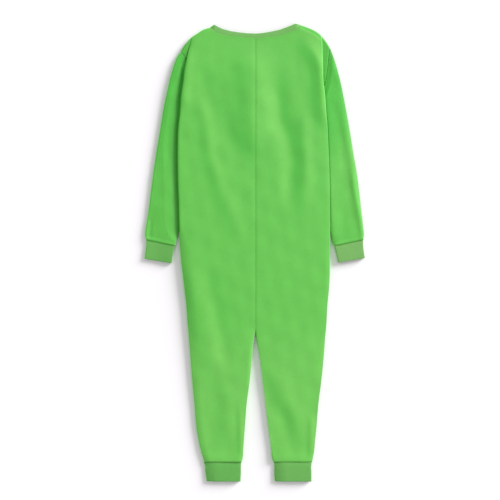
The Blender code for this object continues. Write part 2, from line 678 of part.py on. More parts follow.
def button(number, collection, cutters):
    """A flat four-hole button lying under the placket, face down."""
    share = (number - 0.5) / BUTTONS
    down = front_seam_middle() + share * PLACKET_LENGTH
    height = PLACKET_LIFT - BUTTON_CLEARANCE - BUTTON_THICK / 2
    centre = world(RIGHT, 0.0, down, height)
    bpy.ops.mesh.primitive_cylinder_add(
        vertices=BUTTON_SIDES, radius=BUTTON_RADIUS / 1000, depth=BUTTON_THICK / 1000, location=centre
    )
    obj = bpy.context.object
    obj.name = obj.data.name = f"button_{number}"
    move_to(obj, collection)
    obj.data.materials.append(cloth_material(obj.name, BUTTON_GREEN, 0.35, 0.0))
    for hole in range(BUTTON_HOLES):
        angle = math.radians(45 + 360 / BUTTON_HOLES * hole)
        at = (
            centre[0] + BUTTON_HOLE_RING / 1000 * math.cos(angle),
            centre[1] + BUTTON_HOLE_RING / 1000 * math.sin(angle),
            centre[2],
        )
        bpy.ops.mesh.primitive_cylinder_add(
            vertices=BUTTON_HOLE_SIDES, radius=BUTTON_HOLE_RADIUS / 1000, depth=3 * BUTTON_THICK / 1000, location=at
        )
        cutter = bpy.context.object
        cutter.name = f"cut_button_{number}_{hole}"
        cutter.hide_render = True
        cutter.display_type = "WIRE"
        move_to(cutter, cutters)
        cut = obj.modifiers.new(f"Hole {hole + 1}", "BOOLEAN")
        cut.object = cutter
        cut.operation = "DIFFERENCE"
    return obj


def move_to(obj, collection):
    for old in list(obj.users_collection):
        old.objects.unlink(obj)
    collection.objects.link(obj)


def main():
    for obj in list(bpy.data.objects):
        bpy.data.objects.remove(obj, do_unlink=True)
    garment = bpy.data.collections.new("onesie_pajama")
    cutters = bpy.data.collections.new("cutters")
    bpy.context.scene.collection.children.link(garment)
    bpy.context.scene.collection.children.link(cutters)
    for side in (LEFT, RIGHT):
        back_panel(side, garment)
        front_panel(side, garment)
        sleeve(side, garment)
        wrist_cuff(side, garment)
        ankle_cuff(side, garment)
    neckband(garment)
    placket("placket_top", PLACKET_TOP_WALL, 0.0, PLACKET_HALF, garment)
    placket("placket_under", JERSEY, PLACKET_TOP_WALL + SEAM_GAP, PLACKET_UNDER_HALF, garment)
    for number in range(1, BUTTONS + 1):
        button(number, garment, cutters)


main()
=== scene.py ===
import math

import bpy
import numpy as np
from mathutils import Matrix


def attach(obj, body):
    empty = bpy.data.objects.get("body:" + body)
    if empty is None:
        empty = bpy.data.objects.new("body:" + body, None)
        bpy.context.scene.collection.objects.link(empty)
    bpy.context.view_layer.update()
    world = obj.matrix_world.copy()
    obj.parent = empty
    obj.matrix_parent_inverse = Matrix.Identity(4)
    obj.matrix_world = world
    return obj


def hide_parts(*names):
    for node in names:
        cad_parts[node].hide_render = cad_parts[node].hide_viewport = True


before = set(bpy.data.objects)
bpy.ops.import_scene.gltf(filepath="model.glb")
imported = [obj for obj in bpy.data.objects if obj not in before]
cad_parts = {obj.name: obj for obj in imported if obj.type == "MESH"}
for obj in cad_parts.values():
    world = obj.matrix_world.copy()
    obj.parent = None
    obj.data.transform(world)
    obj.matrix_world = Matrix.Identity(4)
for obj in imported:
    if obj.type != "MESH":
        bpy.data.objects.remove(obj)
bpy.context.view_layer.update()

# ------------------------------------------------------------------------------------------------
# Front panels
# Two sheets of brushed sweat jersey that the garment lies on, each the front of the body and leg in
# one. They are cut apart down the chest for the placket, and climb over the sleeves at the sides.
# Tables are in millimetres: (out from the centre seam, down from the higher neck point).
# ------------------------------------------------------------------------------------------------
LEFT, RIGHT = -1, 1  # the wearer's sides, and the way each runs along X
SIDE_NAME = {LEFT: "left", RIGHT: "right"}
SEAM_X = 1.3  # the centre seam lies this far to the right of the garment's middle
LENGTH = 1449.0
HEM = 1388.0  # where the ankle cuffs are sewn on
CROTCH = 973.0
JERSEY = 1.8  # its thickness
JERSEY_GREEN = (0.098, 0.518, 0.048)
SEAM_GAP = 0.3
CENTRE_GAP = 0.04  # from the centre seam to either panel
# In from either edge of a panel, where its mesh has closer columns
EDGE_STEPS = np.array([0.0, 0.25, 0.6, 1.1, 2.2, 4.0, 7.0, 10.0, 14.0, 18.0])

NECK_SEAM = {
    LEFT: [(0, 46.5), (28.6, 44), (57.2, 41.5), (85.8, 38.5), (114.4, 31.5), (130.1, 24.5), (143, 12)],
    RIGHT: [(0, 46.5), (28.6, 44), (57.2, 41), (85.8, 35.5), (114.4, 27), (130.1, 20), (143, 4)],
}
SHOULDER = {
    LEFT: [(143, 12), (166, 19), (185, 32), (203, 44), (215, 57), (225, 70), (232, 81), (235.5, 90.5)],
    RIGHT: [(143, 4), (169, 13), (194, 25), (210, 38), (221, 51), (229.5, 63), (234, 70), (236.5, 76)],
}
ARMHOLE = {
    LEFT: [(235.5, 90.5), (226, 101), (220, 110), (213.5, 146), (210, 209), (208.5, 272)],
    RIGHT: [(236.5, 76), (232.5, 101), (228.5, 139), (224, 171), (207, 232), (195, 272)],
}
UNDERARM = {
    LEFT: [(202.5, 266), (202, 277), (205, 287), (220, 295), (239.5, 307)],
    RIGHT: [(189, 266), (188.5, 277), (191.5, 287), (206, 295), (226, 307)],
}
SIDE_FOLD = {
    LEFT: [
        (200, 42), (205.5, 64), (212.5, 89), (218.5, 119), (224, 147), (227, 174), (230.5, 198), (235, 232),
        (238.6, 285), (242.7, 320), (245.6, 399), (245, 482), (242.4, 560), (241.8, 586), (239.9, 653),
        (238.6, 691), (235.8, 735), (232.3, 767), (226, 824), (218.2, 890), (213.2, 955), (209.5, 995),
        (205, 1052), (199.3, 1128), (192, 1204), (185.7, 1280), (179.4, 1318), (172.4, 1350), (161, HEM),
    ],
    RIGHT: [
        (207, 35.5), (209.8, 52.3), (211.4, 76), (213.6, 133), (215.5, 184), (219.9, 219), (225, 285),
        (228.2, 320), (232.3, 399), (235.8, 507), (236.4, 586), (237, 652), (237, 705), (236.6, 767),
        (235, 824), (229, 890), (225.2, 955), (221.5, 995), (217.4, 1052), (209.8, 1128), (200.3, 1204),
        (193.9, 1280), (190.1, 1318), (187.3, 1350), (180.3, HEM),
    ],
}
INSEAM = {
    LEFT: [
        (CENTRE_GAP, CROTCH), (3.8, 995), (9.5, 1052), (17.1, 1128), (26.9, 1204), (32.6, 1280),
        (35.5, 1318), (37.4, 1350), (39.3, 1375), (43.4, HEM),
    ],
    RIGHT: [
        (CENTRE_GAP, CROTCH), (3.8, 995), (14.6, 1052), (24.4, 1128), (34.2, 1204), (43.1, 1280),
        (48.2, 1318), (52, 1350), (53.9, 1375), (57.5, HEM),
    ],
}
NECK_MIDDLE = NECK_SEAM[LEFT][0][1]
NECK_HALF = NECK_SEAM[LEFT][-1][0]

# Height of the fold between the back and the front: (down, height)
RIM_TOP = [(90, 6.2), (101, 7.2), (110, 8.4), (240, 8.6), (285, 10.5), (307, 12.6), (560, 12.6)]
SIDE_RIM = {
    LEFT: RIM_TOP + [
        (652, 12.2), (735, 11.2), (995, 9.8), (1128, 8.2), (1280, 6.8), (1350, 6.4), (HEM, 6.0),
    ],
    RIGHT: RIM_TOP + [
        (652, 12.0), (735, 10.9), (995, 11.2), (1128, 12.0), (1280, 10.2), (1350, 9.4), (HEM, 7.8),
    ],
}
INSEAM_RIM = {
    LEFT: [(CROTCH, 12.8), (1128, 13.0), (1204, 12.8), (1280, 11.8), (1350, 11.0), (HEM, 9.4)],
    RIGHT: [(CROTCH, 12.6), (1128, 11.6), (1280, 9.9), (1350, 9.1), (HEM, 7.6)],
}
SHOULDER_RIM = 6.2
LIP = 0.65  # from that height to the edge of either panel

FRONT_NECK_DROP = 62.0  # the front of the neck lies this much lower
FRONT_NECK_POWER = 2.2  # and its curve is this full
PLACKET_END = 438.5
PLACKET_HALF = 15.0
PLACKET_LIFT = 2.8
PLACKET_EASE = 25.0  # beside and below the placket, where the front comes down to the floor
TUCK_HEIGHT = 8.6  # over the sleeves
TUCK_RAMP = 12.0  # over which the front climbs to it
FLOOR_REACH = 8.0  # of the rounding where a fold meets the floor
ARMHOLE_EASE = 1.0  # the front's edge stands back this far from the back's
UNDERARM_DOWN = 272.0
UNDERARM_END = 307.0  # where the side fold starts below it
FRONT_BOW = 172.0  # along the armhole, where the rows follow the curve of the neck


def smooth(share):
    """A share from 0 to 1, eased at both ends."""
    share = np.clip(share, 0.0, 1.0)
    return share * share * (3.0 - 2.0 * share)


def rounding(distance, reach):
    """How far a layer has risen over its rounded edge: 0 at the edge, and 1 from reach inwards."""
    share = np.clip(distance / reach, 0.0, 1.0)
    return np.sqrt(1.0 - (1.0 - share) ** 2)


def read(table, key, column=1):
    """A table's column, read between its rows by its first one."""
    rows = np.array(table, float)
    return np.interp(key, rows[:, 0], rows[:, column])


def lengths(points):
    """The length run along a line at each of its points."""
    return np.concatenate([[0.0], np.cumsum(np.linalg.norm(np.diff(points, axis=0), axis=1))])


def walk(line, along):
    """Points at lengths along a line."""
    run = lengths(line)
    return np.stack([np.interp(along, run, column) for column in line.T], axis=-1)


def curve(points, step=12.0):
    """A smooth line through points, with a point about every step."""
    points = np.array(points, float)
    run = lengths(points)
    slope = np.gradient(points, run, axis=0)
    at = np.linspace(0.0, run[-1], int(run[-1] / step) + 2)
    k = np.clip(np.searchsorted(run, at, side="right") - 1, 0, len(run) - 2)
    span = (run[k + 1] - run[k])[:, None]
    t = (at[:, None] - run[k][:, None]) / span
    start = (1 + 2 * t) * (1 - t) ** 2 * points[k] + t * (1 - t) ** 2 * span * slope[k]
    end = t * t * (3 - 2 * t) * points[k + 1] + t * t * (t - 1) * span * slope[k + 1]
    return start + end


def nearest(out, down, line):
    """The distance from each point to a line, and how far along the line it is."""
    best = np.full(np.shape(out), np.inf)
    along = np.zeros(np.shape(out))
    for start, end, passed in zip(line, line[1:], lengths(line)):
        run = end - start
        length = math.hypot(*run)
        share = np.clip(((out - start[0]) * run[0] + (down - start[1]) * run[1]) / length**2, 0.0, 1.0)
        gap = np.hypot(out - start[0] - share * run[0], down - start[1] - share * run[1])
        along = np.where(gap < best, passed + share * length, along)
        best = np.minimum(best, gap)
    return best, along


def place(side, out, down, height):
    """Points in metres, with the middle of the garment at the origin and the floor at 0."""
    return np.stack([SEAM_X + side * out, LENGTH / 2 - down, height], axis=-1) / 1000


def columns(width, spacing=5.0):
    """Distances across a panel, close together at both edges, the same number at any width."""
    inner = np.broadcast_to(EDGE_STEPS, (len(width), len(EDGE_STEPS)))
    count = int((width.max() - 2 * EDGE_STEPS[-1]) / spacing)
    share = np.linspace(0.0, 1.0, count + 2)[1:-1]
    middle = EDGE_STEPS[-1] + share * (width[:, None] - 2 * EDGE_STEPS[-1])
    return np.hstack([inner, middle, width[:, None] - inner[:, ::-1]])


def thicken(obj, wall):
    """Gives a sheet its wall, on the inner side."""
    solidify = obj.modifiers.new("Wall", "SOLIDIFY")
    solidify.thickness = wall / 1000
    solidify.offset = -1.0


def cloth(name, points, grain, material, wall, closed=False, flip=False, nap_and_painted_light=0.5):
    """A sheet through a grid of points, or a tube where closed, with its wall on the inner side.

    The last argument is the share of painted light at each point, mostly from 0 to 1: at 1 a paler, lit copy
    of the colour, at 0 a deeper, shaded copy.
    """
    rows, count = points.shape[:2]
    index = np.arange(rows * count).reshape(rows, count)
    if closed:
        index = np.hstack([index, index[:, :1]])
    corners = np.stack([index[:-1, :-1], index[:-1, 1:], index[1:, 1:], index[1:, :-1]], axis=-1)
    grain_index = np.arange(rows * index.shape[1]).reshape(index.shape)
    on_grain = [grain_index[:-1, :-1], grain_index[:-1, 1:], grain_index[1:, 1:], grain_index[1:, :-1]]
    on_grain = np.stack(on_grain, axis=-1).reshape(-1, 4)
    corners = corners.reshape(-1, 4)
    if flip:
        corners, on_grain = corners[:, ::-1], on_grain[:, ::-1]
    mesh = bpy.data.meshes.new(name)
    mesh.from_pydata(points.reshape(-1, 3).tolist(), [], corners.tolist())
    layer = mesh.uv_layers.new(name="grain")
    layer.data.foreach_set("uv", grain.reshape(-1, 2)[on_grain.ravel()].ravel())
    # The share of painted light and shade at each point, which the material reads
    layer = mesh.attributes.new("nap_and_painted_light", "FLOAT", "POINT")
    layer.data.foreach_set("value", np.broadcast_to(nap_and_painted_light, (rows, count)).ravel().astype(np.float32))
    mesh.materials.append(material)
    mesh.shade_smooth()
    obj = bpy.data.objects.new(name, mesh)
    bpy.context.collection.objects.link(obj)
    if wall:
        thicken(obj, wall)
    return obj


def node(tree, kind, inputs=(), **settings):
    """A node with its settings, and its inputs set to values or joined to other nodes' outputs."""
    made = tree.nodes.new(kind)
    for key, value in settings.items():
        setattr(made, key, value)
    for key, value in dict(inputs).items():
        if isinstance(value, bpy.types.NodeSocket):
            tree.links.new(value, made.inputs[key])
        else:
            made.inputs[key].default_value = value
    return made


def maths(tree, operation, first, second=0.0):
    return node(tree, "ShaderNodeMath", {0: first, 1: second}, operation=operation).outputs[0]


def spread(tree, noise, low, high):
    """The middle half of a noise's range, spread from low to high."""
    span = {"Value": noise.outputs["Fac"], 1: 0.25, 2: 0.75, 3: low, 4: high}
    return node(tree, "ShaderNodeMapRange", span).outputs[0]


def node_group(name, kind, inputs, outputs):
    """A group with its sockets: the tree, what it is given, and the identifier of each input."""
    tree = bpy.data.node_groups.new(name, kind)
    identifiers = {}
    for label, value in inputs.items():
        socket = tree.interface.new_socket(label, in_out="INPUT", socket_type=f"NodeSocket{value}")
        identifiers[label] = socket.identifier
    for label, value in outputs.items():
        tree.interface.new_socket(label, in_out="OUTPUT", socket_type=f"NodeSocket{value}")
    return tree, tree.nodes.new("NodeGroupInput").outputs, identifiers


def knit_group():
    """Plain knit with a brushed nap: columns of V-shaped stitches, and slow changes of colour."""
    inputs = {
        "Grain": "Vector", "Place": "Vector",
        "Wales per metre": "Float", "Courses per metre": "Float", "Nap": "Float",
    }
    tree, given, _ = node_group("knit", "ShaderNodeTree", inputs, {"Height": "Float", "Shade": "Color"})
    parts = node(tree, "ShaderNodeSeparateXYZ", {0: given["Grain"]}).outputs
    across = maths(tree, "MULTIPLY", parts["X"], given["Wales per metre"])
    along = maths(tree, "MULTIPLY", parts["Y"], given["Courses per metre"])
    wale = maths(tree, "FRACT", across)
    lean = maths(tree, "ABSOLUTE", maths(tree, "SUBTRACT", wale, 0.5))
    ridge = maths(tree, "SINE", maths(tree, "MULTIPLY", wale, math.pi))
    turn = maths(tree, "MULTIPLY", maths(tree, "ADD", along, lean), 2 * math.pi)
    loop = maths(tree, "MULTIPLY", maths(tree, "ADD", maths(tree, "SINE", turn), 1.0), 0.25)
    stitch = maths(tree, "ADD", maths(tree, "MULTIPLY", ridge, 0.6), loop)
    nap_and_painted_light = node(tree, "ShaderNodeTexNoise", {"Vector": given["Place"], "Scale": 1700.0, "Detail": 3.0})
    rough = maths(tree, "MULTIPLY", nap_and_painted_light.outputs["Fac"], given["Nap"])
    height = maths(tree, "ADD", stitch, rough)
    fine = node(tree, "ShaderNodeTexNoise", {"Vector": given["Place"], "Scale": 330.0, "Detail": 2.0})
    broad = node(tree, "ShaderNodeTexNoise", {"Vector": given["Place"], "Scale": 28.0, "Detail": 2.0})
    clouds = maths(tree, "ADD", spread(tree, fine, -0.035, 0.035), spread(tree, broad, 0.98, 1.02))
    # Painted shade: the colour is a little darker in the valleys between the stitches
    painted_valley_shade = maths(tree, "MULTIPLY", maths(tree, "SUBTRACT", stitch, 0.6), 0.10)
    shade = maths(tree, "ADD", clouds, painted_valley_shade)
    grey = node(tree, "ShaderNodeCombineColor", {0: shade, 1: shade, 2: shade})
    node(tree, "NodeGroupOutput", {"Height": height, "Shade": grey.outputs[0]})
    return tree


KNIT = knit_group()
# Shares of a cloth's colour, as red, green and blue, for painted shade and for painted light: a deeper copy
# where the cloth is meant to lie in shade, and a paler, yellower one where it is meant to face the light
PAINTED_SHADE_SHARES = (0.62, 0.90, 0.60)
PAINTED_LIGHT_SHARES = (1.33, 1.02, 1.28)


def fabric(name, colour, wales, courses, nap_and_painted_light, roughness, sheen, bump):
    """A matt knitted cloth, with its stitches to the metre across and along."""
    material = bpy.data.materials.new(name)
    material.use_nodes = True
    tree = material.node_tree
    shader = tree.nodes["Principled BSDF"]
    grain = node(tree, "ShaderNodeUVMap", uv_map="grain")
    where = node(tree, "ShaderNodeTexCoord")
    knit = node(tree, "ShaderNodeGroup", node_tree=KNIT)
    tree.links.new(grain.outputs["UV"], knit.inputs["Grain"])
    tree.links.new(where.outputs["Object"], knit.inputs["Place"])
    knit.inputs["Wales per metre"].default_value = wales
    knit.inputs["Courses per metre"].default_value = courses
    knit.inputs["Nap"].default_value = nap_and_painted_light
    # Painted light and shade: the attribute mixes from the deeper, shaded copy of the colour at 0 to the
    # paler, lit copy at 1, and deeper still below 0
    painted_light_attribute = node(tree, "ShaderNodeAttribute", attribute_name="nap_and_painted_light")
    painted_shade_colour = [part * share for part, share in zip(colour, PAINTED_SHADE_SHARES)]
    painted_light_colour = [part * share for part, share in zip(colour, PAINTED_LIGHT_SHARES)]
    # A colour mix has its share at input 0 and its two colours at 6 and 7
    painted_light_mix = node(
        tree,
        "ShaderNodeMix",
        {0: painted_light_attribute.outputs["Fac"], 6: (*painted_shade_colour, 1.0), 7: (*painted_light_colour, 1.0)},
        data_type="RGBA",
        clamp_factor=False,
    )
    dyed = node(
        tree,
        "ShaderNodeMix",
        {0: 1.0, 6: painted_light_mix.outputs[2], 7: knit.outputs["Shade"]},
        data_type="RGBA",
        blend_type="MULTIPLY",
    )
    raised = node(
        tree, "ShaderNodeBump", {"Strength": bump, "Distance": 0.0004, "Height": knit.outputs["Height"]}
    )
    tree.links.new(dyed.outputs[2], shader.inputs["Base Color"])
    tree.links.new(raised.outputs["Normal"], shader.inputs["Normal"])
    shader.inputs["Roughness"].default_value = roughness
    shader.inputs["Sheen Weight"].default_value = sheen
    shader.inputs["Sheen Roughness"].default_value = 0.5
    shader.inputs["Sheen Tint"].default_value = (0.35, 0.9, 0.25, 1.0)
    shader.inputs["Specular IOR Level"].default_value = 0.8
    material.diffuse_color = (*colour, 1.0)
    return material


jersey = fabric(
    "jersey", JERSEY_GREEN, wales=1100.0, courses=1300.0, nap_and_painted_light=0.8, roughness=0.65, sheen=0.03, bump=0.35
)


def inner_edge(side, down):
    return np.where(down < CROTCH, CENTRE_GAP, read(curve(INSEAM[side])[:, ::-1], down))


def fold_out(side, down):
    table = [(row[1], row[0]) for row in SIDE_FOLD[side]]
    return read(table, down)


def top_edge(side, out):
    """The neck seam and the shoulder as one line."""
    return read(NECK_SEAM[side] + SHOULDER[side][1:], out)


def edge_height(side, out, down, line, heights):
    """The distance of each point to a folded edge of a body panel, and the height of that edge there."""
    gap, along = nearest(out, down, line)
    at = walk(line, along.ravel())[:, 1].reshape(np.shape(out))
    return gap, read(heights, at)


def front_height(side, out, down, inner_sleeve):
    """Height of the face that lies on the floor."""
    clear = np.hypot(np.maximum(inner_sleeve - out, 0.0), np.maximum(UNDERARM_DOWN - down, 0.0))
    beside = smooth(1.0 - (out - PLACKET_HALF) / PLACKET_EASE)
    below = smooth(1.0 - (down - PLACKET_END) / PLACKET_EASE)
    floor = TUCK_HEIGHT * smooth(1.0 - clear / TUCK_RAMP) + PLACKET_LIFT * beside * below
    height = floor
    for line, heights in (
        (curve(SHOULDER[side]), [(0, SHOULDER_RIM)]),
        (curve([point for point in SIDE_FOLD[side] if point[1] > UNDERARM_END]), SIDE_RIM[side]),
        (curve(INSEAM[side]), INSEAM_RIM[side]),
    ):
        gap, rim = edge_height(side, out, down, line, heights)
        height = np.maximum(height, rim - LIP - (rim - LIP - floor) * rounding(gap, FLOOR_REACH))
    return height


# Inner fold of the sleeves, hidden under the body: (down, out)
SLEEVE_INNER = {
    LEFT: [(293, 208.8), (343, 210.4), (424, 214.2), (518, 222.1), (606, 234.2), (676, 245), (757, 264)],
    RIGHT: [(293, 195.5), (343, 198), (424, 204), (518, 214.5), (606, 229), (676, 241.5), (757, 263)],
}
for side in (LEFT, RIGHT):
    armhole = [(out - ARMHOLE_EASE, down) for out, down in ARMHOLE[side] if down < UNDERARM_DOWN]
    armhole[0] = SHOULDER[side][-1]
    edge = curve(armhole + UNDERARM[side], step=6.0)
    lower = curve([(out, down) for out, down in SIDE_FOLD[side] if down > UNDERARM_END], step=9.0)
    edge = np.vstack([edge, lower])
    tip, last = edge[0, 1], UNDERARM[side][-1][1]
    inner_down = np.interp(edge[:, 1], [tip, last, HEM], [NECK_MIDDLE + FRONT_NECK_DROP, last, HEM])
    for down in (PLACKET_END, PLACKET_END + 1.0):
        at = np.searchsorted(inner_down, down)
        edge = np.insert(edge, at, (fold_out(side, down), down), axis=0)
        inner_down = np.insert(inner_down, at, down)
    inner_out = np.where(inner_down <= PLACKET_END, PLACKET_HALF + SEAM_GAP, inner_edge(side, inner_down))
    across = columns(edge[:, 0] - inner_out, spacing=7.0)
    share = across / across[:, -1:]
    out = inner_out[:, None] + across
    lower_neck = FRONT_NECK_DROP * (1 - np.minimum(out[0] / NECK_HALF, 1) ** FRONT_NECK_POWER)
    neck = top_edge(side, out[0]) + lower_neck
    chord = inner_down[0] + share[0] * (tip - inner_down[0])
    bow = (1 - np.minimum(lengths(edge) / FRONT_BOW, 1)) ** 2
    down = inner_down[:, None] + share * (edge[:, 1] - inner_down)[:, None] + bow[:, None] * (neck - chord)
    height = front_height(side, out, down, read(SLEEVE_INNER[side], down))
    points = place(side, out, down, height)
    name = SIDE_NAME[side]
    panel = cloth(f"jersey_front_{name}", points, points[..., :2], jersey, JERSEY, flip=side == LEFT)
    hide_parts(f"front_{name}")
    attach(panel, "root")

# ------------------------------------------------------------------------------------------------
# Back panels
# Two sheets of the same jersey, each the back of the body and leg in one, joined by the centre-back
# seam. Beside each arm the cloth folds over the sleeve: it shows as far as the seam near the
# shoulder, and runs in under itself lower down.
# ------------------------------------------------------------------------------------------------
# Height of the back where it is fullest, before its folds: (down, height)
CROWN = [
    (90, 15.5), (140, 16.2), (240, 17.3), (560, 17.5), (824, 16.8), (CROTCH, 15.8), (1128, 14.5), (HEM, 10.8),
]
BODY_HALF = 230.0
NECK_HEIGHT = 13.2
NECK_RISE = 140.0  # below the neck seam, over which the back rises to its full height
NECK_DIP = 0.25, 2.6  # at the neck seam: depth, half width
HEM_PUFF = 1.6, 8.0, 20.0  # over the ankle's seam: height, how far above the seam, half width
HEM_DROP = {LEFT: 0.3, RIGHT: 0.5}  # right at that seam
HEM_DIP = 2.0  # and the half width of this drop
CENTRE_GROOVE = {LEFT: (0.3, 12.0), RIGHT: (0.5, 5.0)}  # beside the centre seam: depth, reach
GROOVE_FADE = 20.0  # above and below the crotch, where the groove ends
# Height of the tight turn at an edge, over which the cloth then swells softly
CORNER = 1.4
SHOULDER_CORNER = 4.5
CORNER_REACH = 1.2
SWELL = {LEFT: (18.0, 14.0), RIGHT: (18.0, 5.0)}  # reach of the softer rise: from the shoulder, the inseam
# The same from the side fold, by how far down it is
SIDE_SWELL = {
    LEFT: [(90, 13), (180, 8), (640, 7), (720, 36), (1000, 34), (1128, 24), (HEM, 22)],
    RIGHT: [(60, 24), (180, 16), (650, 15), (900, 18), (HEM, 18)],
}
FOLD_FORMS = {LEFT: 25.0, RIGHT: 140.0}  # along the fold, from the shoulder to where it is fully formed
FOLD_DROP = {LEFT: 2.6, RIGHT: 2.3}  # of the fold where it lies over the sleeve, below the cloth beside it
SIDE_FALL = {LEFT: 0.0, RIGHT: 2.6}  # how much lower the back's side lies than its middle
STRIP_HEIGHT = 7.6  # of the cloth folded in under, on the sleeve
# Of the cloth that shows beside the fold near the shoulder: at the fold, and at the armhole seam
STRIP_LEVEL = {LEFT: (11.6, 10.4), RIGHT: (10.6, 12.0)}
STRIP_GROOVE = {LEFT: (5.0, 2.6), RIGHT: (0.8, 3.0)}  # under the fold: depth, half width
STRIP_STEPS = [0.01, 0.03, 0.07, 0.14, 0.22, 0.32, 0.44, 0.56, 0.70, 0.85, 0.96, 1.0]
STRIP_FALL = [0.45, 0.80, 0.96] + 9 * [1.0]
STRIP_ENDS = 225.0, 37.0  # down: where it starts to end, and over what length
STRIP_REACH = 4.0  # of its rounding at the shoulder
STRIP_ABOVE_RIM = 0.2  # where the strip has ended
ARMHOLE_DIP = 0.5, 2.5, 14.0  # at the seam: depth, half width, distance from the shoulder where it is formed
# The armhole seam beside the fold: (length along the fold, length along the seam)
STRIP = {LEFT: [(0, 0), (70, 25), (107, 62), (170, 125), (232, 188)], RIGHT: [(0, 0), (160, 120), (200, 162)]}
STRIP_UNDER = {LEFT: 78.0, RIGHT: 158.0}  # along the fold, where the seam goes in under it
UNDER_AHEAD, UNDER_LENGTH = 12.0, 30.0  # the cloth starts to turn under this far ahead, over this length
OFF_SLEEVE = 640.0, 60.0  # down: where the fold leaves the sleeve, and over what length
ROWS_FINE = 80.0  # along the fold from the shoulder, where the rows of the mesh stand closer
ROWS_LEVEL = 250.0  # down from the shoulder, over which they become level
BACK_BOW = 190.0  # along the fold, where they follow the curve of the neck
STRIP_BOW = 40.0  # along the fold, where the strip's rows follow the shoulder

# Soft folds: (half width, height, [(x, down), ...]), below 0 in a trough
CENTRE_RIDGE = (52, 2.7, [(-10, 40), (-10, 200), (-6, 330), (-2, 440)])
SOFT_FOLDS = {
    LEFT: [
        (34, -0.7, [(-182, 105), (-153, 215), (-121, 295), (-80, 358), (-42, 428), (-42, 504)]),
        (24, 0.9, [(-190, 210), (-156, 301), (-147, 399), (-118, 494), (-93, 558), (-64, 637), (-48, 716)]),
        CENTRE_RIDGE,
        (16, 0.8, [(-208, 75), (-214, 130), (-220, 200), (-226, 280)]),
        (34, 1.0, [(-222, 700), (-213, 754), (-163, 928), (-137, 1055), (-125, 1157)]),
        (34, -0.8, [(-175, 754), (-125, 928), (-96, 1055), (-80, 1112)]),
        (34, -0.7, [(-128, 1110), (-128, 1220), (-128, 1350)]),
        (34, 0.7, [(-90, 1120), (-90, 1220), (-90, 1350)]),
        (10, 0.6, [(-49, 1200), (-47, 1290), (-45, 1386)]),
    ],
    RIGHT: [
        CENTRE_RIDGE,
        (26, -1.8, [(60, 120), (66, 177), (81, 301), (110, 399), (110, 517), (104, 600)]),
        (22, 1.0, [(142, 225), (154, 301), (158, 431), (154, 640)]),
        (25, 2.9, [(150, 20), (169, 66), (197, 112), (207, 165), (212, 257), (215, 350)]),
        (3, -1.2, [(140, 8), (151, 14), (170, 23), (190, 33.5), (210, 50)]),
        (32, -1.0, [(20, 1075), (28, 1106), (53, 1192), (91, 1255), (107, 1350)]),
        (32, 1.0, [(50, 1070), (56, 1096), (85, 1182), (129, 1249), (142, 1350)]),
        (10, 0.5, [(178, 1225), (177, 1300), (175, 1386)]),
    ],
}
LEG_MIDDLE = {LEFT: [(CROTCH, -106), (HEM, -102)], RIGHT: [(CROTCH, 112), (HEM, 119)]}
LEG_LEAN = 0.02  # each leg lies a little higher on its right
LEG_LEAN_FROM = 960.0, 100.0  # down: where this starts, and over what length
# Painted light on the soft folds, from their slope towards the lamp:
PAINTED_LIGHT_STEP = 2.4, -1.8  # along X and down: how far to either side the slope is measured
PAINTED_LIGHT_SPAN = 6.0  # from one of these two points to the other
PAINTED_LIGHT_CONTRAST = 9.0
LEGS_PALER = 0.4  # how much paler and yellower the colour is on the legs
LEGS_PALER_FROM = 900.0, 200.0  # down: where this starts, and over what length
# Faint waves of cloth that has been lying: (across, along, start)
RUMPLES = [(41, 17, 0.3), (-23, 37, 1.7), (13, -29, 4.1), (31, 61, 2.2), (-57, 11, 5.0)]
RUMPLE_DENSITY = 2.2  # the higher, the closer the waves
RUMPLE_HEIGHT = 0.11


def ease(value, start, length):
    """Grows softly from 0 at start to 1 a length further on."""
    return smooth((value - start) / length)


def bell(distance, half):
    """1 where the distance is 0, falling softly away on both sides."""
    return np.exp(-((distance / half) ** 2))


def relief(x, down, folds):
    """Height added by soft folds, which fade out over a quarter of their length at both ends."""
    total = np.zeros(np.shape(x))
    for width, height, points in folds:
        line = curve(points)
        gap, along = nearest(x, down, line)
        length = lengths(line)[-1]
        fade = smooth(along / length * 4) * smooth((length - along) / length * 4)
        total += height * fade * bell(gap, width)
    return total


def painted_light_of(x, down, folds):
    """Painted light and shade: a share that rises above 0.5 on the sides of folds that face up and to the
    right, towards the lamp, and falls below it on sides facing away.
    """
    across, along = PAINTED_LIGHT_STEP
    near = relief(x - across, down - along, folds)
    slope = (near - relief(x + across, down + along, folds)) / PAINTED_LIGHT_SPAN
    return np.clip(0.5 + PAINTED_LIGHT_CONTRAST * slope, 0.0, 1.0)


def rumple(x, down):
    """Height added by the faint waves."""
    total = np.zeros(np.shape(x))
    for across, along, start in RUMPLES:
        total += np.sin((across * x + along * down) / 1000 * RUMPLE_DENSITY + start)
    return RUMPLE_HEIGHT * total


def swell(distance, reach):
    """How far a soft layer has risen from its edge: steepest there, and level from reach inwards."""
    return 1.0 - (1.0 - np.clip(distance / reach, 0.0, 1.0)) ** 2


def below_edge(fall, gap, reach, corner=CORNER):
    """How far the cloth is below its full height beside an edge that lies lower by fall."""
    corner = np.clip(fall, 0.0, corner)
    return corner * (1 - rounding(gap, CORNER_REACH)) + (fall - corner) * (1 - swell(gap, reach))


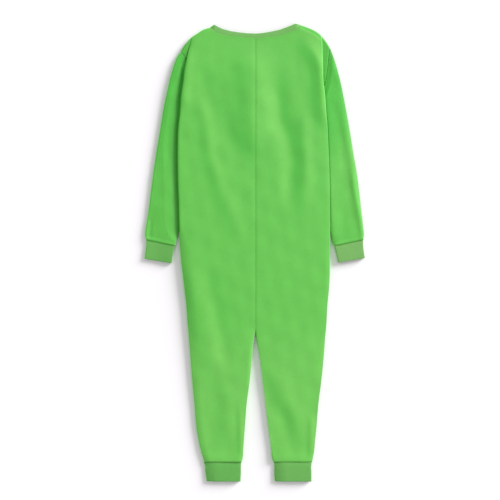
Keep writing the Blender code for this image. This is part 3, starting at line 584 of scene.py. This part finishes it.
def back_height(side, out, down):
    """Height of the outer face, before it turns down at the side."""
    crown = read(CROWN, down) - SIDE_FALL[side] * (out / BODY_HALF) ** 2
    on_leg = ease(down, *LEG_LEAN_FROM)
    crown = crown + LEG_LEAN * (side * out - read(LEG_MIDDLE[side], down)) * on_leg
    below_neck = smooth((down - read(NECK_SEAM[side], out)) / NECK_RISE)
    crown = NECK_HEIGHT + (crown - NECK_HEIGHT) * below_neck
    x = side * out
    crown = crown + (relief(x, down, SOFT_FOLDS[side]) + rumple(x, down)) * below_neck
    # The cloth puffs over the ankle's seam, which draws it in
    hem = HEM - down
    puff, above, half = HEM_PUFF
    crown = crown + puff * bell(hem - above, half)
    crown = crown - HEM_DROP[side] * bell(hem, HEM_DIP)
    height = crown
    shoulder = curve(SHOULDER[side]), [(0, SHOULDER_RIM)], SHOULDER_CORNER
    inseam = curve(INSEAM[side]), INSEAM_RIM[side], CORNER
    for (line, heights, corner), reach in zip((shoulder, inseam), SWELL[side]):
        gap, rim = edge_height(side, out, down, line, heights)
        height = np.minimum(height, crown - below_edge(crown - rim - LIP, gap, reach, corner))
    # The two panels meet in a shallow groove, wide on the left and narrow on the right
    depth, reach = CENTRE_GROOVE[side]
    groove = depth * (1 - smooth(out / reach))
    height = height - groove * smooth((CROTCH + GROOVE_FADE - down) / (2 * GROOVE_FADE))
    neck_gap, _ = nearest(out, down, curve(NECK_SEAM[side], step=8.0))
    depth, half = NECK_DIP
    return height - depth * bell(neck_gap, half)


for side in (LEFT, RIGHT):
    fold = curve(SIDE_FOLD[side], step=4.0)
    total = lengths(fold)[-1]
    rest = np.linspace(ROWS_FINE, total, int((total - ROWS_FINE) / 4.0))
    along = np.concatenate([EDGE_STEPS[:4], np.arange(2, ROWS_FINE, 2.0), rest])
    edge = walk(fold, along)
    top = edge[0, 1]
    inner_down = edge[:, 1] + (NECK_MIDDLE - top) * (1 - ease(edge[:, 1], top, ROWS_LEVEL))
    inner_out = inner_edge(side, inner_down)
    across = columns(edge[:, 0] - inner_out)
    share = across / across[:, -1:]
    out = inner_out[:, None] + across
    chord = inner_down[0] + share[0] * (top - inner_down[0])
    bow = (1 - np.minimum(along / BACK_BOW, 1)) ** 2
    rise = bow[:, None] * (top_edge(side, out[0]) - chord)
    down = inner_down[:, None] + share * (edge[:, 1] - inner_down)[:, None] + rise

    # The sheet up to the fold, which rolls over towards the sleeve
    height = back_height(side, out, down)
    formed = smooth(along / FOLD_FORMS[side])[:, None]
    under = smooth((along - STRIP_UNDER[side] + UNDER_AHEAD) / UNDER_LENGTH)[:, None]
    rim = read(SIDE_RIM[side], edge[:, 1])[:, None] + LIP
    over_sleeve = 1 - ease(edge[:, 1:], *OFF_SLEEVE)
    fold_height = rim + (height[:, -1:] - FOLD_DROP[side] - rim) * over_sleeve
    gap = across[:, -1:] - across
    reach = read(SIDE_SWELL[side], edge[:, 1])[:, None]
    height = height - formed * below_edge(height[:, -1:] - fold_height, gap, reach)

    # The strip beyond the fold, out to the armhole seam or in under the fold
    seam = curve(ARMHOLE[side], step=6.0)
    beside = np.interp(along, *np.array(STRIP[side], float).T)
    reaches = 1 - ease(edge[:, 1], *STRIP_ENDS)
    run = (walk(seam, beside) - edge) * reaches[:, None]
    shoulder = curve(SHOULDER[side], step=6.0)
    start = nearest(*np.array([[edge[0, 0]], [edge[0, 1]]]), shoulder)[1][0]
    first = walk(shoulder, start + np.array(STRIP_STEPS) * (lengths(shoulder)[-1] - start))
    off_line = first - edge[0] - np.outer(STRIP_STEPS, run[0])
    strip_bow = smooth(1 - along / STRIP_BOW)[:, None, None] * off_line
    strip = edge[:, None] + np.array(STRIP_STEPS)[:, None] * run[:, None] + strip_bow
    strip_out, strip_down = strip[..., 0], strip[..., 1]
    outline, _ = nearest(strip_out, strip_down, shoulder)
    to_seam, _ = nearest(strip_out, strip_down, seam)
    at_fold, at_seam = STRIP_LEVEL[side]
    level = at_fold + (at_seam - at_fold) * np.array(STRIP_STEPS)
    level = SHOULDER_RIM + LIP + (level - SHOULDER_RIM - LIP) * rounding(outline, STRIP_REACH)
    depth, half, formed_by = ARMHOLE_DIP
    level = level - depth * bell(to_seam, half) * rounding(outline, formed_by)
    depth, half = STRIP_GROOVE[side]
    from_fold = np.linalg.norm(strip - edge[:, None], axis=2)
    level = level - depth * formed * bell(from_fold, half)
    level = level + (STRIP_HEIGHT - level) * under
    ended = read(SIDE_RIM[side], edge[:, 1])[:, None] + STRIP_ABOVE_RIM
    level = level + (ended - level) * (1 - reaches[:, None])
    strip_height = height[:, -1:] + (level - height[:, -1:]) * np.array(STRIP_FALL)

    out = np.hstack([out, strip_out])
    down = np.hstack([down, strip_down])
    height = np.hstack([height, strip_height])
    points = place(side, out, down, height)
    # The weave keeps its size where the cloth goes in under the fold
    flat_out = out.copy()
    steps = np.linalg.norm(np.diff(points[:, -len(STRIP_STEPS) - 1:], axis=1), axis=2) * 1000
    flat_out[:, -len(STRIP_STEPS):] = edge[:, :1] + np.cumsum(steps, axis=1)
    grain = place(side, flat_out, down, height)[..., :2]
    on_leg = ease(down, *LEGS_PALER_FROM)
    nap_and_painted_light = painted_light_of(side * out, down, SOFT_FOLDS[side]) + LEGS_PALER * on_leg
    # Painted shade: the strip beside and under the side fold gets the shaded colour throughout
    nap_and_painted_light[:, -len(STRIP_STEPS):] = 0.0
    name = SIDE_NAME[side]
    panel = cloth(f"jersey_back_{name}", points, grain, jersey, JERSEY, flip=side == RIGHT, nap_and_painted_light=nap_and_painted_light)
    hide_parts(f"back_{name}")
    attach(panel, "root")

# ------------------------------------------------------------------------------------------------
# Sleeves
# Two flattened tubes of the same jersey, set in at the dropped armhole. Their inner edges lie under
# the body's side folds, and the cloth puffs a little where it is gathered to the cuffs.
# Rows: (outer fold out, down, inner fold out, down)
# ------------------------------------------------------------------------------------------------
SLEEVE_GAP = 0.8  # from the armhole seam
SLEEVE_BOW = 120.0  # along the outer fold, where the rows follow that seam
SLEEVE = {
    LEFT: [
        (244.5, 100, 208.8, 293), (256.1, 128, 209.5, 315), (267.1, 164, 210.4, 343), (279.8, 218, 212, 380),
        (291.5, 277, 214.2, 424), (302, 342, 217.7, 471), (313.1, 409, 222.1, 518), (322.6, 474, 227.5, 562),
        (330.8, 536, 234.2, 606), (337.8, 594, 239.9, 645), (345.1, 640, 245, 676), (348.3, 667, 250.7, 693),
        (345.4, 685, 253.2, 704),
    ],
    RIGHT: [
        (246.5, 100, 195.5, 293), (255.8, 128, 196.5, 315), (265.8, 164, 198, 343), (278, 218, 200.5, 380),
        (289, 277, 204, 424), (300.7, 342, 208.5, 471), (311.5, 409, 214.5, 518), (322.6, 474, 221, 562),
        (330.5, 536, 229, 606), (337, 594, 236.5, 645), (342.3, 640, 241.5, 676), (344.8, 667, 245.2, 693),
        (342.6, 685, 250, 704),
    ],
}
SLEEVE_CROWN = {
    LEFT: [(90, 9.8), (150, 10.8), (250, 12.0), (560, 12.8), (660, 12.2), (685, 12.0)],
    RIGHT: [(90, 12.4), (164, 13.0), (560, 13.0), (660, 12.2), (685, 12.0)],
}
SLEEVE_LEAST = 3.7  # its upper face lies no lower
TUCK_TOP = 7.0  # height of the sleeve where the body lies over it
TUCK_EASE = 6.0  # inside the body's fold, over which it comes down to that
ARMHOLE_STEP = 0.8  # of the sleeve below the body's cloth at the armhole
ARMHOLE_REACH = 18.0  # from that seam, over which the sleeve is drawn level with it
OUTER_FOLD = 0.6  # height of a tube's outer fold, as a share of the tube's
UNDER_REACH = 6.0  # of the rounding of a tube's lower face
# How much lower the sleeve lies outside the body's fold: (distance from the fold, drop)
BESIDE_FOLD = {
    LEFT: [(0, 8.8), (3, 8.5), (6, 7.3), (9, 6.0), (13, 4.7), (18, 3.5), (26, 2.0), (36, 0.8), (45, 0)],
    RIGHT: [
        (-8, 6.3), (-4, 4.6), (-2, 2.4), (-1, 0.7), (0, -0.5), (3, -1.5), (8, -1.5), (20, -1.0), (38, -0.2),
        (45, 0),
    ],
}
# How wide that hollow is, as a share of the above: (down, share)
HOLLOW = {
    LEFT: [(100, 0.2), (150, 0.45), (215, 0.75), (380, 1.0), (640, 1.0), (700, 0.5)],
    RIGHT: [(200, 1.0), (300, 1.0)],
}
HOLLOW_END = 665.0, 30.0  # down: where it starts to end, and over what length
SLEEVE_FOLDS = {
    LEFT: [
        (7, -1.2, [(-330, 610), (-334, 650), (-336, 690)]),
        (12, -0.8, [(-262, 250), (-272, 350), (-279, 460)]),
    ],
    RIGHT: [
        (12, 1.0, [
            (248, 180), (256, 220), (275, 300), (295, 399), (308, 478), (315, 557), (332, 660), (336, 700),
        ]),
        (9, 1.3, [(300, 440), (316, 540), (330, 610), (338, 670), (342, 720)]),
    ],
}
SLEEVE_SLOPE = {LEFT: -3.4, RIGHT: -0.6}  # how much lower the outer side lies
SLOPE_REACH = 90.0  # beyond the body's fold, where it lies that much lower
SLOPE_FROM = 140.0, 150.0  # down: where this starts, and over what length
SLEEVE_EDGE = {LEFT: (0.5, 6.0), RIGHT: (1.4, 13.0)}  # height and reach of the soft rise at the outer edge
SLEEVE_PUFF = 0.9, 5.5, 3.5  # over the cuff's seam: height, how far above the seam, half width
SLEEVE_DROP = 0.6, 2.2  # right at that seam: depth, half width
# Share of painted light along each sleeve, lower near the shoulder for painted shade: (down, share)
SLEEVE_PAINTED_LIGHT = {
    LEFT: [(90, -0.2), (300, -0.03), (420, 0.2), (640, 0.35), (700, 0.4)],
    RIGHT: [(90, -0.25), (270, -0.1), (400, 0.6), (560, 0.5), (700, 0.4)],
}
FOLD_PAINTED_SHADE = {LEFT: 0.6, RIGHT: 0.1}  # painted shade: how much lower the share of painted light is right beside the body's fold
FOLD_PAINTED_SHADE_HALF = 7.0  # half width of that


def tube(side, out, down, top, outer, inner, full, soft, reach):
    """A flattened tube: its upper face from the outer fold in, then its lower face back on the floor."""
    from_outer, _ = nearest(out, down, outer)
    from_inner, _ = nearest(out, down, inner)
    far = np.minimum(from_outer, from_inner)
    middle = np.where(from_outer < from_inner, full * OUTER_FOLD, top / 2)
    soft = np.minimum(soft, (top - middle) / 2)
    upper = top - (top - middle - soft) * (1 - rounding(far, CORNER_REACH)) - soft * (1 - swell(far, reach))
    upper = place(side, out, down, upper)
    lower = place(side, out, down, middle - middle * rounding(far, UNDER_REACH))
    return np.concatenate([upper, lower[:, -2:0:-1]], axis=1)


def tube_grain(points):
    """Distances round a tube and along it, in metres, with one more column than the tube has."""
    closed = np.concatenate([points, points[:, :1]], axis=1)
    around = np.cumsum(np.linalg.norm(np.diff(closed, axis=1), axis=2), axis=1)
    around = np.hstack([np.zeros((len(points), 1)), around])
    steps = np.linalg.norm(np.diff(closed, axis=0), axis=2)
    along = np.vstack([np.zeros((1, closed.shape[1])), np.cumsum(steps, axis=0)])
    return np.stack([around, along], axis=-1)


for side in (LEFT, RIGHT):
    seam = curve(ARMHOLE[side], step=6.0) + SLEEVE_GAP
    start = (*seam[0], *seam[-1])
    rows = curve([start] + SLEEVE[side], step=5.0)
    across = columns(np.linalg.norm(rows[:, :2] - rows[:, 2:], axis=1), spacing=2.5)
    share = across / across[:, -1:]
    outer, inner = rows[:, :2], rows[:, 2:]
    plan = outer[:, None] + share[..., None] * (inner - outer)[:, None]
    seam_points = walk(seam, share[0] * lengths(seam)[-1])
    bow = (1 - np.minimum(lengths(outer) / SLEEVE_BOW, 1)) ** 2
    plan = plan + bow[:, None, None] * (seam_points - plan[0])
    out, down = plan[..., 0], plan[..., 1]
    full = read(SLEEVE_CROWN[side], outer[:, 1])[:, None]
    beyond = out - fold_out(side, down)
    x = side * out
    slope = SLEEVE_SLOPE[side] * smooth(beyond / SLOPE_REACH) * ease(down, *SLOPE_FROM)
    crown = full + slope + relief(x, down, SLEEVE_FOLDS[side]) + rumple(x, down)
    drop = read(BESIDE_FOLD[side], beyond / read(HOLLOW[side], down))
    top = np.maximum(crown - drop * (1 - ease(down, *HOLLOW_END)), SLEEVE_LEAST)
    top = top + (np.minimum(top, TUCK_TOP) - top) * smooth(-beyond / TUCK_EASE)
    # It puffs over the cuff's seam, which draws it in
    middle = lengths((outer + inner) / 2)
    end = (middle[-1] - middle)[:, None]
    puff, above, half = SLEEVE_PUFF
    drawn, drawn_half = SLEEVE_DROP
    top = top + puff * bell(end - above, half) - drawn * bell(end, drawn_half)
    # Along the armhole it starts level with the body's cloth
    from_seam, _ = nearest(out, down, seam)
    seam_level = np.where(beyond > 0, STRIP_LEVEL[side][1] - ARMHOLE_STEP, TUCK_TOP)
    top = top + (seam_level - top) * (1 - smooth(from_seam / ARMHOLE_REACH))
    points = tube(side, out, down, top, outer, inner, full, *SLEEVE_EDGE[side])
    name = SIDE_NAME[side]
    # Painted shade on the sleeve right beside the body's fold, where the body's edge shades it
    fold_shade = FOLD_PAINTED_SHADE[side] * bell(np.maximum(beyond, 0), FOLD_PAINTED_SHADE_HALF)
    nap_and_painted_light = read(SLEEVE_PAINTED_LIGHT[side], outer[:, 1:]) - fold_shade
    sleeve = cloth(
        f"jersey_sleeve_{name}", points, tube_grain(points), jersey, JERSEY, closed=True, flip=side == LEFT,
        nap_and_painted_light=np.concatenate([nap_and_painted_light, nap_and_painted_light[:, -2:0:-1]], axis=1),
    )
    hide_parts(f"sleeve_{name}")
    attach(sleeve, "root")

# ------------------------------------------------------------------------------------------------
# Placket and buttons
# Two strips of jersey down the front opening, the upper with five flat buttons sewn to it face down.
# The garment lies on them, so they are plain.
# ------------------------------------------------------------------------------------------------
# Half width, level and wall of each
STRIPS = {"placket_top": (PLACKET_HALF, 2.8, 2.4), "placket_under": (19.0, 5.5, JERSEY)}
PLACKET_START = 109.8
STRIP_EDGE = 0.4, 2.0  # how much higher either edge lies, and over what width
for name, (half, level, wall) in STRIPS.items():
    middle = np.linspace(-half + 7, half - 7, 7)
    across = np.concatenate([-half + EDGE_STEPS[:6], middle, half - EDGE_STEPS[5::-1]])
    down = np.linspace(PLACKET_START, PLACKET_END - SEAM_GAP, 110)
    out, down = np.meshgrid(across, down)
    rise, reach = STRIP_EDGE
    points = place(RIGHT, out, down, level + rise * (1 - rounding(half - np.abs(out), reach)))
    strip = cloth(f"jersey_{name}", points, points[..., :2], jersey, wall)
    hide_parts(name)
    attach(strip, "root")


def clouded(name, scale, detail, dark, light, roughness):
    """A material whose colour drifts between two, in patches about 1 / scale metres wide."""
    material = bpy.data.materials.new(name)
    material.use_nodes = True
    tree = material.node_tree
    shader = tree.nodes["Principled BSDF"]
    cloud = node(tree, "ShaderNodeTexNoise", {"Scale": scale, "Detail": detail})
    tree.links.new(node(tree, "ShaderNodeTexCoord").outputs["Object"], cloud.inputs["Vector"])
    tint = node(tree, "ShaderNodeValToRGB", {"Fac": cloud.outputs["Fac"]})
    tint.color_ramp.elements[0].color = (*dark, 1)
    tint.color_ramp.elements[1].color = (*light, 1)
    tree.links.new(tint.outputs["Color"], shader.inputs["Base Color"])
    shader.inputs["Roughness"].default_value = roughness
    return material


plastic = clouded("button plastic", 260.0, 2.0, (0.10, 0.36, 0.08), (0.14, 0.47, 0.10), roughness=0.35)
for number in range(1, 6):
    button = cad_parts[f"button_{number}"]
    button.data.materials.clear()
    button.data.materials.append(plastic)

# ------------------------------------------------------------------------------------------------
# Cuffs
# Four tubes of doubled 1 x 1 rib, sewn to the sleeves and legs and pulling them in a little. The
# ribs run towards the hand or foot, so each cuff has the same number from its seam to its edge.
# Rows: (outer fold out, down, inner fold out, down)
# ------------------------------------------------------------------------------------------------
RIB = 2.2
RIB_GREEN = (0.132, 0.435, 0.082)
RIB_PITCH = 2.3
RIB_DEPTH = 0.5
RIB_SAMPLES = 6  # columns of the mesh to a rib
CUFF_HEIGHT = 11.8
CUFF_DROP = {"cuff_wrist": 1.0, "cuff_ankle": 1.5}  # at the seam
CUFF_SEWN = 4.0, 9.0  # from the sewn end: where this drop starts to ease, and how slowly
CUFF_EDGE = 0.2, 1.5  # at the free edge: how far it turns down, half width
CUFF_SIDE = 0.6, 6.0  # height and reach of the soft rise at either side
CUFF_FREE = 2.0, 16.0  # beyond the body's fold: where a wrist's cuff starts to rise, over what length
ANKLE_FALL = 4.6, 38.0  # of an ankle cuff's left side: height, reach
# Share of painted light on each cuff: most on the right wrist, towards the lamp
CUFF_PAINTED_LIGHT = {"cuff_wrist_left": 0.4, "cuff_wrist_right": 1.0, "cuff_ankle_left": 0.3, "cuff_ankle_right": 0.5}
# The first row is drawn up inside the end of the sleeve or leg
WRIST = {
    LEFT: [
        (343.4, 681, 254.6, 700), (344.6, 686, 254.6, 705), (345.2, 699, 256.9, 717),
        (346.6, 714, 260.4, 731), (350.4, 743.7, 264.5, 758.2),
    ],
    RIGHT: [
        (340.6, 681, 251.4, 700), (341.8, 686, 251.4, 705), (342.4, 699, 254, 717),
        (343.4, 714, 257.6, 731), (347.6, 741.7, 263.2, 756.2),
    ],
}
ANKLE = {
    LEFT: [
        (159.4, 1384, 45.2, 1384), (160.2, 1389, 44.4, 1389), (159.1, 1400, 45, 1400),
        (157.6, 1420, 45, 1420), (153.6, 1449, 46.4, 1449),
    ],
    RIGHT: [
        (178.4, 1384, 59.6, 1384), (179, 1389, 59.2, 1389), (177.8, 1400, 60.6, 1400),
        (178.4, 1420, 60.6, 1420), (178.4, 1449, 62, 1449),
    ],
}
rib = fabric("rib", RIB_GREEN, wales=1700.0, courses=1500.0, nap_and_painted_light=0.6, roughness=0.9, sheen=0.2, bump=0.3)


def rib_tree():
    """Raises rounded ribs from a mesh whose points know which rib they are on."""
    inputs = {"Geometry": "Geometry", "Depth": "Float", "Material": "Material"}
    tree, given, identifiers = node_group("ribs", "GeometryNodeTree", inputs, {"Geometry": "Geometry"})
    number = node(tree, "GeometryNodeInputNamedAttribute", {"Name": "rib"}, data_type="FLOAT")
    wave = maths(tree, "SINE", maths(tree, "MULTIPLY", number.outputs["Attribute"], math.pi))
    # A power below 1 of the wave's size makes round ribs with narrow valleys
    crest = maths(tree, "POWER", maths(tree, "ABSOLUTE", wave), 0.7)
    fall = maths(tree, "MULTIPLY", maths(tree, "SUBTRACT", crest, 1.0), given["Depth"])
    normal = node(tree, "GeometryNodeInputNormal")
    offset = node(tree, "ShaderNodeVectorMath", {0: normal.outputs[0]}, operation="SCALE")
    tree.links.new(fall, offset.inputs["Scale"])
    shift = {"Geometry": given["Geometry"], "Offset": offset.outputs[0]}
    moved = node(tree, "GeometryNodeSetPosition", shift)
    real = node(tree, "GeometryNodeRealizeInstances", {"Geometry": moved.outputs[0]})
    finish = {"Geometry": real.outputs[0], "Material": given["Material"]}
    dyed = node(tree, "GeometryNodeSetMaterial", finish)
    node(tree, "NodeGroupOutput", {"Geometry": dyed.outputs[0]})
    return tree, identifiers


RIB_TREE, RIB_INPUTS = rib_tree()


def applied(obj):
    """The object's mesh with its modifiers made part of it."""
    shown = obj.evaluated_get(bpy.context.evaluated_depsgraph_get())
    mesh = bpy.data.meshes.new_from_object(shown)
    obj.modifiers.clear()
    obj.data = mesh
    mesh.shade_smooth()
    return obj


def ribbed(name, points, numbers, grain, flip, depth, nap_and_painted_light):
    """A ring or tube with ribs. numbers says which rib each column is on."""
    obj = cloth(name, points, grain, rib, 0.0, closed=True, flip=flip, nap_and_painted_light=nap_and_painted_light)
    layer = obj.data.attributes.new("rib", "FLOAT", "POINT")
    layer.data.foreach_set("value", np.broadcast_to(numbers, points.shape[:2]).ravel().astype(np.float32))
    ribs = obj.modifiers.new("Ribs", "NODES")
    ribs.node_group = RIB_TREE
    ribs[RIB_INPUTS["Depth"]] = depth / 1000
    ribs[RIB_INPUTS["Material"]] = rib
    applied(obj)
    thicken(obj, RIB)
    return obj


def evenly(ring, count):
    """Points at equal spacing round a closed ring."""
    closed = np.vstack([ring, ring[:1]])
    return walk(closed, np.arange(count) / count * lengths(closed)[-1])


for stem, table in (("cuff_wrist", WRIST), ("cuff_ankle", ANKLE)):
    for side in (LEFT, RIGHT):
        rows = curve(table[side], step=3.5)
        outer, inner = rows[:, :2], rows[:, 2:]
        width = np.linalg.norm(outer - inner, axis=1)
        across = columns(width, spacing=4.0)
        share = across / across[:, -1:]
        plan = outer[:, None] + share[..., None] * (inner - outer)[:, None]
        out, down = plan[..., 0], plan[..., 1]
        middle = lengths((outer + inner) / 2)
        from_seam, depth = middle[:, None], middle[-1]
        # A sewn end is pulled flat, and the free edge turns down a little
        sewn, slow = CUFF_SEWN
        top = np.full(out.shape, CUFF_HEIGHT)
        top = top - CUFF_DROP[stem] * np.exp(-np.maximum(from_seam - sewn, 0) / slow)
        top = top - CUFF_EDGE[0] * bell(depth - from_seam, CUFF_EDGE[1])
        if stem == "cuff_wrist":
            beyond = out - fold_out(side, down) - CUFF_FREE[0]
            top = top + SLEEVE_SLOPE[side] * smooth(beyond / SLOPE_REACH)
            top = TUCK_TOP + (top - TUCK_TOP) * smooth(beyond / CUFF_FREE[1])
        else:
            from_left, _ = nearest(out, down, outer if side == LEFT else inner)
            top = top - ANKLE_FALL[0] * (1 - swell(from_left, ANKLE_FALL[1]))
        rings = tube(side, out, down, top, outer, inner, CUFF_HEIGHT, *CUFF_SIDE)
        ribs = int(round(2 * width.mean() / RIB_PITCH))
        points = np.stack([evenly(ring, ribs * RIB_SAMPLES) for ring in rings])
        numbers = np.arange(ribs * RIB_SAMPLES) / RIB_SAMPLES
        name = f"{stem}_{SIDE_NAME[side]}"
        cuff = ribbed(
            f"rib_{name}", points, numbers, tube_grain(points), side == LEFT, RIB_DEPTH, CUFF_PAINTED_LIGHT[name]
        )
        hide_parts(name)
        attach(cuff, "root")

# ------------------------------------------------------------------------------------------------
# Neckband
# A ring of the same doubled rib, sewn round the neck with its ribs running from the seam to the free
# edge. Its back half lies on the back's level, and its front half on the floor under it.
# ------------------------------------------------------------------------------------------------
NECK_EDGE = {
    LEFT: [(0, 31.5), (26.1, 30.3), (52.2, 27.6), (78.3, 23.5), (104.4, 16.5), (118.8, 9.5), (130.5, 3)],
    RIGHT: [(0, 31.5), (25.4, 29.5), (50.8, 25), (76.2, 19.5), (101.6, 10.5), (115.6, 4.5), (127, 0)],
}
BAND_GAP = 0.1
BAND_STEPS = np.array([0.0, 0.02, 0.06, 0.14, 0.26, 0.40, 0.55, 0.70, 0.84, 0.93, 0.98, 1.0])
BAND_PUFF = 0.2
BAND_BELOW = 0.4  # the height of the back at the neck
BAND_REACH = 18.0  # from the shoulder's fold, over which its back half rises
BAND_PITCH = 2.2
BAND_DEPTH = 0.25
# Share of painted light on the neckband, the same all round, which makes it paler
BAND_PAINTED_LIGHT = 0.75


def band_point(turn, step):
    """A point of the band. turn runs 0 to 4 round the neck from the left shoulder across the back."""
    part = np.floor(turn).astype(int) % 4
    share = turn - np.floor(turn)
    share = np.where((part == 0) | (part == 2), 1 - share, share)
    side = np.where((part == 0) | (part == 3), LEFT, RIGHT)
    out, down, rim = (np.zeros(np.shape(turn)) for _ in range(3))
    for this in (LEFT, RIGHT):
        seam_line, edge_line = NECK_SEAM[this], NECK_EDGE[this]
        seam_half, edge_half = seam_line[-1][0] - BAND_GAP, edge_line[-1][0]
        seam_down = read(seam_line, share * seam_line[-1][0]) - BAND_GAP
        edge_down = read(edge_line, share * edge_half)
        this_out = share * (seam_half + step * (edge_half - seam_half))
        this_down = seam_down + step * (edge_down - seam_down)
        far, _ = nearest(this_out, this_down, curve(SHOULDER[this]))
        out = np.where(side == this, this_out, out)
        down = np.where(side == this, this_down, down)
        rim = np.where(side == this, far, rim)
    back = part < 2
    beside = smooth(1 - (out - PLACKET_HALF) / PLACKET_EASE)
    puff = BAND_PUFF * np.sin(math.pi * np.clip(step, 0, 1)) ** 0.8
    top = SHOULDER_RIM + (NECK_HEIGHT + puff - BAND_BELOW - SHOULDER_RIM) * rounding(rim, BAND_REACH)
    floor = SHOULDER_RIM - (SHOULDER_RIM - PLACKET_LIFT * beside) * rounding(rim, FLOOR_REACH)
    down = np.where(back, down, down + FRONT_NECK_DROP * (1 - share**FRONT_NECK_POWER))
    x = SEAM_X + side * out
    return np.stack([x, LENGTH / 2 - down, np.where(back, top, floor)], axis=-1) / 1000


dense = np.linspace(0, 4, 1200)
middle = band_point(dense, 0.5)
run = lengths(middle) * 1000
ribs = int(run[-1] / BAND_PITCH)
turns = np.interp(np.arange(ribs * RIB_SAMPLES) / (ribs * RIB_SAMPLES) * run[-1], run, dense)
shares = np.where(turns % 2 < 1, 1 - turns % 2, turns % 2 - 1)
points = np.stack([band_point(turns, step) for step in BAND_STEPS])
numbers = np.arange(ribs * RIB_SAMPLES) / RIB_SAMPLES
band = ribbed("rib_neckband", points, numbers, tube_grain(points), False, BAND_DEPTH, BAND_PAINTED_LIGHT)
# The wall thins out to a tenth where the band folds over at the shoulders
group = band.vertex_groups.new(name="wall")
for index, thin in enumerate(np.tile(np.clip((1 - shares) * 10, 0.1, 1.0), len(BAND_STEPS))):
    group.add([index], float(thin), "REPLACE")
band.modifiers["Wall"].vertex_group = "wall"
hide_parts("neckband")
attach(band, "root")

# ------------------------------------------------------------------------------------------------
# Topstitching
# A row of lockstitches in matching thread, 4 mm below the neck seam, which holds the seam allowance
# down on the back.
# ------------------------------------------------------------------------------------------------
STITCH_LENGTH = 2.6
STITCH_PITCH = 3.2
STITCH_RADIUS = 0.28
STITCH_BELOW_SEAM = 4.0
STITCH_LIFT = 0.05  # above the cloth
thread = clouded("thread", 900.0, 1.0, (0.075, 0.33, 0.05), (0.11, 0.43, 0.07), roughness=0.6)


def stitch_tree():
    """Stitches laid end to end along a line."""
    inputs = {
        "Geometry": "Geometry",
        "Pitch": "Float", "Length": "Float", "Radius": "Float", "Material": "Material",
    }
    tree, given, identifiers = node_group("stitches", "GeometryNodeTree", inputs, {"Geometry": "Geometry"})
    line = node(tree, "GeometryNodeMeshToCurve", {0: given["Geometry"]})
    path = {"Curve": line.outputs[0], "Length": given["Pitch"]}
    spaced = node(tree, "GeometryNodeResampleCurve", path, mode="LENGTH")
    ball = node(tree, "GeometryNodeMeshUVSphere", {"Segments": 6, "Rings": 5, "Radius": given["Radius"]})
    stretch = maths(tree, "DIVIDE", given["Length"], maths(tree, "MULTIPLY", given["Radius"], 2.0))
    size = node(tree, "ShaderNodeCombineXYZ", {0: 1.0, 1: 1.0, 2: stretch})
    tangent = node(tree, "GeometryNodeInputTangent")
    turn = node(tree, "FunctionNodeAlignRotationToVector", {"Vector": tangent.outputs[0]}, axis="Z")
    laid = node(tree, "GeometryNodeInstanceOnPoints", {
        "Points": spaced.outputs[0], "Instance": ball.outputs[0],
        "Rotation": turn.outputs[0], "Scale": size.outputs[0],
    })
    real = node(tree, "GeometryNodeRealizeInstances", {"Geometry": laid.outputs[0]})
    finish = {"Geometry": real.outputs[0], "Material": given["Material"]}
    dyed = node(tree, "GeometryNodeSetMaterial", finish)
    node(tree, "NodeGroupOutput", {"Geometry": dyed.outputs[0]})
    return tree, identifiers


STITCH_TREE, STITCH_INPUTS = stitch_tree()


def stitches(name, line):
    mesh = bpy.data.meshes.new(name)
    mesh.from_pydata(line.tolist(), [(i, i + 1) for i in range(len(line) - 1)], [])
    obj = bpy.data.objects.new(name, mesh)
    bpy.context.collection.objects.link(obj)
    row = obj.modifiers.new("Stitches", "NODES")
    row.node_group = STITCH_TREE
    row[STITCH_INPUTS["Pitch"]] = STITCH_PITCH / 1000
    row[STITCH_INPUTS["Length"]] = STITCH_LENGTH / 1000
    row[STITCH_INPUTS["Radius"]] = STITCH_RADIUS / 1000
    row[STITCH_INPUTS["Material"]] = thread
    return applied(obj)


for side in (LEFT, RIGHT):
    line = curve(NECK_SEAM[side], step=3.0)[:-2]
    ahead = np.gradient(line, axis=0)
    ahead /= np.linalg.norm(ahead, axis=1)[:, None]
    line = line + STITCH_BELOW_SEAM * np.stack([-ahead[:, 1], ahead[:, 0]], axis=-1)
    out, down = line[:, 0], line[:, 1]
    height = back_height(side, out, down) + STITCH_LIFT
    row = stitches(f"stitches_neck_{SIDE_NAME[side]}", place(side, out, down, height))
    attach(row, "root")

# ------------------------------------------------------------------------------------------------
# Floor, lights and camera
# A plain white floor, a low soft light from the upper right with a wide fill, and a camera straight
# above the garment.
# ------------------------------------------------------------------------------------------------
FLOOR_HALF = 4.0
FLOOR_DROP = 0.0003  # so that it shares no face with the garment's underside
bpy.ops.mesh.primitive_plane_add(size=2 * FLOOR_HALF, location=(0, 0, -FLOOR_DROP))
floor = bpy.context.object
floor.name = "floor"
white = bpy.data.materials.new("white floor")
white.use_nodes = True
shader = white.node_tree.nodes["Principled BSDF"]
shader.inputs["Base Color"].default_value = (0.935, 0.915, 0.935, 1)
shader.inputs["Roughness"].default_value = 0.9
shader.inputs["Specular IOR Level"].default_value = 0.1
floor.data.materials.append(white)

scene = bpy.context.scene
world = bpy.data.worlds.new("studio")
scene.world = world
world.use_nodes = True
world.node_tree.nodes["Background"].inputs["Color"].default_value = (1, 1, 1, 1)
world.node_tree.nodes["Background"].inputs["Strength"].default_value = 0.62

SUN_HEIGHT = 15.5  # degrees above the floor
SUN_TURN = 34  # degrees from +X towards +Y
key_data = bpy.data.lights.new("key", "SUN")
key_data.energy = 5.9
key_data.angle = math.radians(30)
key = bpy.data.objects.new("key", key_data)
bpy.context.collection.objects.link(key)
key.location = (4.2, 2.1, 3.3)
key.rotation_euler = (math.radians(90 - SUN_HEIGHT), 0, math.radians(90 + SUN_TURN))

camera_data = bpy.data.cameras.new("camera")
camera_data.lens = 85
camera_data.sensor_width = 36
camera_data.clip_end = 20
camera = bpy.data.objects.new("camera", camera_data)
bpy.context.collection.objects.link(camera)
camera.location = (-0.0155, 0.0083, 3.748)
scene.camera = camera
scene.view_settings.view_transform = "Standard"
